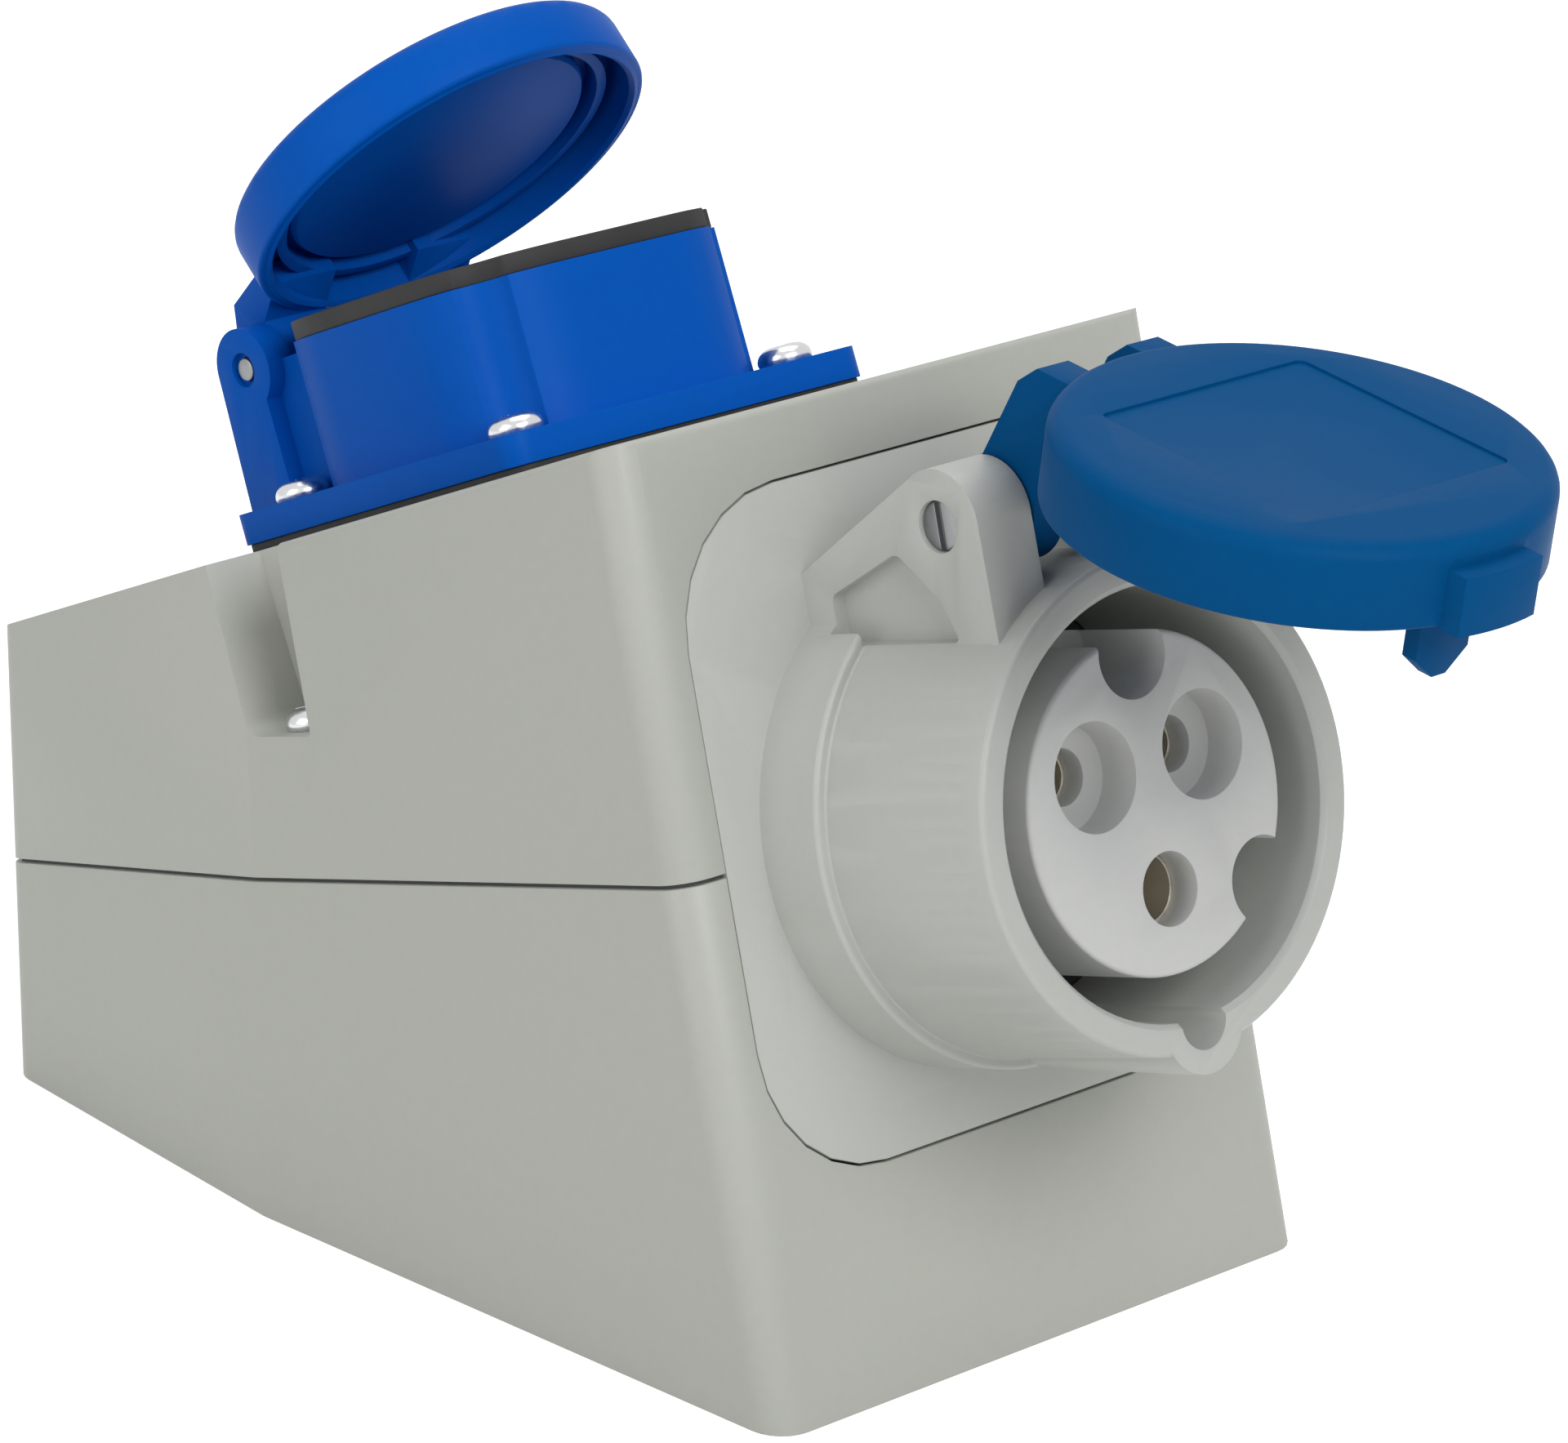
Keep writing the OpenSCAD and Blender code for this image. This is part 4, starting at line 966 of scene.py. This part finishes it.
@dataclass
class HouseholdSocket:
    """The blue flanged socket on the sloping top: housing, seals, insert, contacts, screws. Millimetres."""

    bench: Bench
    edge: float = 0.6
    flange_screw: PanHeadScrew = PanHeadScrew(1.6, 12.5, 3.1, 2.1)
    centre_screw: PanHeadScrew = PanHeadScrew(1.5, 19.0, 2.9, 1.6)
    clamp_screw: PanHeadScrew = PanHeadScrew(1.5, 2.5, 2.3, 1.4, 32, 0.15, 0.6)
    screw_pitch: float = 39.2
    flange_top: float = 4.5
    well_floor: float = 4.0
    pin_pitch: float = 19.0
    clamp_y: float = 4.6
    clamp_z: float = -15.5

    def build(self) -> None:
        """Builds the socket's pieces."""
        self.bench.moulding("panel_housing", Body.HOUSING, "moulded_polyamide_blue", self.edge, 3)
        self.bench.moulding("panel_gasket", Body.HOUSING, "moulded_rubber_black", 0.25)
        self.bench.moulding("panel_seal", Body.HOUSING, "moulded_rubber_black", 0.15)
        self.bench.moulding("panel_insert", Body.HOUSING, "moulded_polyamide_blue", 0.25)
        self.bench.moulding("panel_earth_strap", Body.HOUSING, "nickel_plated_strip", 0.2)
        for node in ("panel_line_contact_left", "panel_line_contact_right"):
            self.bench.moulding(node, Body.HOUSING, "nickel_plated_brass", 0.15)
        self.screws()

    def screws(self) -> None:
        """Sets the screws of the flange, the middle and the two clamps."""
        reach = self.screw_pitch / 2 * MM
        top = self.flange_top * MM
        corners = [PANEL @ shift(x * reach, y * reach, top) for x in (-1, 1) for y in (-1, 1)]
        middle = [PANEL @ shift(0, 0, self.well_floor * MM)]
        clamps = [
            PANEL @ shift(x * self.pin_pitch / 2 * MM, -self.clamp_y * MM, self.clamp_z * MM) @ turn_x(90)
            for x in (-1, 1)
        ]
        for node, screw, seats in (
            ("panel_screws", self.flange_screw, corners),
            ("panel_centre_screw", self.centre_screw, middle),
            ("panel_clamp_screws", self.clamp_screw, clamps),
        ):
            self.bench.fit(screw.set_in(f"{node}_set", seats), node, Body.HOUSING, "zinc_plated_steel")


@dataclass
class HouseholdLid:
    """The round blue lid of the household socket with its pin and spring. Millimetres."""

    bench: Bench
    edge: float = 0.3
    pin: HingePin = HingePin(1.35, 18.3)
    spring: CoilSpring = CoilSpring(2.2, 0.4, 8, 9.0, 3.5, 30.0)

    def build(self) -> None:
        """Builds the lid's pieces."""
        self.bench.moulding("panel_lid", Body.PANEL_LID, "moulded_polyamide_blue", self.edge, 3)
        pin = self.pin.model("panel_lid_pin_turned")
        put(pin, PANEL @ shift(0, PANEL_HINGE_Y, PANEL_HINGE_Z))
        self.bench.fit(pin, "panel_lid_pin", Body.HOUSING, "drawn_steel_painted_shade")
        spring = self.spring.model("panel_lid_spring_wound")
        put(spring, PANEL_HINGE)
        self.bench.fit(spring, "panel_lid_spring", Body.PANEL_LID, "spring_wire")


# ---- studio -----------------------------------------------------------------------------------------


@dataclass(frozen=True)
class SoftLamp:
    """A soft square lamp: where it hangs, its side in metres and its power in watts."""

    name: str
    place: tuple[float, float, float]
    size: float
    watts: float


LAMPS = (
    SoftLamp("key", (-0.25, -1.25, 1.0), 0.9, 14.0),
    SoftLamp("fill", (-1.5, 0.1, 0.8), 1.1, 7.2),
    SoftLamp("top", (0.3, 0.3, 1.6), 1.2, 8.0),
)


@dataclass
class Studio:
    """The floor, lights, world and camera."""

    eye: Vector = field(default_factory=lambda: Vector((-0.5251, -0.5922, 0.3207)))
    lens: float = 173.5
    azimuth: float = -42.934
    elevation: float = 18.732
    roll: float = -0.118
    aim: Vector = field(default_factory=lambda: Vector((0.0, 0.0, 0.05)))
    sensor_mm: float = 36.0
    near: float = 0.01
    floor_size: float = 12.0
    floor_grey: str = "#efefee"
    floor_lift: float = 0.55
    world_fill: float = 0.3

    def camera(self) -> None:
        """Makes the camera that was fitted to the photograph."""
        data = bpy.data.cameras.new("photo_camera")
        data.lens = self.lens
        data.sensor_width = self.sensor_mm
        data.sensor_fit = "HORIZONTAL"
        data.clip_start = self.near
        camera = bpy.data.objects.new("photo_camera", data)
        bpy.context.scene.collection.objects.link(camera)
        az, el = math.radians(self.azimuth), math.radians(self.elevation)
        back = Vector((math.sin(az) * math.cos(el), -math.cos(az) * math.cos(el), math.sin(el)))
        right = Vector((0, 0, 1)).cross(back).normalized()
        up = back.cross(right)
        turn = Matrix((right, up, back)).transposed().to_4x4()
        roll = Matrix.Rotation(math.radians(self.roll), 4, "Z")
        camera.matrix_world = Matrix.Translation(self.eye) @ turn @ roll
        bpy.context.scene.camera = camera

    def hang(self, lamp: SoftLamp) -> None:
        """Adds one soft square lamp that faces the part."""
        data = bpy.data.lights.new(lamp.name, "AREA")
        data.shape = "SQUARE"
        data.size = lamp.size
        data.energy = lamp.watts
        piece = bpy.data.objects.new(lamp.name, data)
        bpy.context.scene.collection.objects.link(piece)
        place = Vector(lamp.place)
        facing = (place - self.aim).to_track_quat("Z", "Y").to_matrix().to_4x4()
        piece.matrix_world = Matrix.Translation(place) @ facing

    def seen(self, tree: bpy.types.NodeTree) -> bpy.types.NodeSocket:
        """Returns whether a ray comes from the camera, straight or by way of a gloss or a clear piece."""
        path = add_node(tree, "ShaderNodeLightPath")
        seen = path.outputs["Is Camera Ray"]
        for name in ("Is Glossy Ray", "Is Transmission Ray"):
            seen = add_node(
                tree, "ShaderNodeMath", {"operation": "MAXIMUM"}, i0=seen, i1=path.outputs[name]
            ).outputs[0]
        return seen

    def world(self) -> None:
        """Makes the world: soft fill light that the camera sees as white."""
        world = bpy.data.worlds.new("studio_world")
        bpy.context.scene.world = world
        world.use_nodes = True
        tree = world.node_tree
        tree.nodes.clear()
        fill = add_node(tree, "ShaderNodeBackground", {"Color": WHITE, "Strength": self.world_fill})
        white = add_node(tree, "ShaderNodeBackground", {"Color": WHITE, "Strength": 1.0})
        seen = self.seen(tree)
        mix = add_node(tree, "ShaderNodeMixShader", i0=seen, i1=fill.outputs[0], i2=white.outputs[0])
        add_node(tree, "ShaderNodeOutputWorld", Surface=mix.outputs[0])

    def floor(self) -> None:
        """Makes the paper floor, which the camera sees as white but for the part's shadow."""
        deselect()
        bpy.ops.mesh.primitive_grid_add(
            x_subdivisions=8, y_subdivisions=8, size=self.floor_size, location=(0, 0, 0)
        )
        floor = bpy.context.object
        floor.name = "studio_floor"
        material = bpy.data.materials.new("paper_sweep_white")
        material.use_nodes = True
        tree = material.node_tree
        tree.nodes.clear()
        paper = add_node(
            tree, "ShaderNodeBsdfPrincipled", {"Base Color": srgb(self.floor_grey), "Roughness": 0.9}
        )
        glow = add_node(tree, "ShaderNodeEmission", {"Color": WHITE, "Strength": self.floor_lift})
        lifted = add_node(tree, "ShaderNodeAddShader", i0=paper.outputs[0], i1=glow.outputs[0])
        seen = self.seen(tree)
        mix = add_node(tree, "ShaderNodeMixShader", i0=seen, i1=paper.outputs[0], i2=lifted.outputs[0])
        add_node(tree, "ShaderNodeOutputMaterial", Surface=mix.outputs[0])
        dress(floor, material)

    def build(self) -> None:
        """Builds the whole studio."""
        bpy.context.scene.view_settings.view_transform = "Standard"
        self.camera()
        self.world()
        self.floor()
        for lamp in LAMPS:
            self.hang(lamp)


def main() -> None:
    """Builds the studio, then dresses the part."""
    logging.basicConfig(level=logging.INFO, format="%(name)s: %(message)s")
    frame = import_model()
    Studio().build()
    finishes = {finish.name: finish.make() for finish in FINISHES}
    bench = Bench(frame["nodes"], finishes)
    for sub_assembly in (SurfaceCase, RoundSocket, RoundLid, HouseholdSocket, HouseholdLid):
        LOG.info("building %s", sub_assembly.__name__)
        sub_assembly(bench).build()


if __name__ == "__main__":
    main()
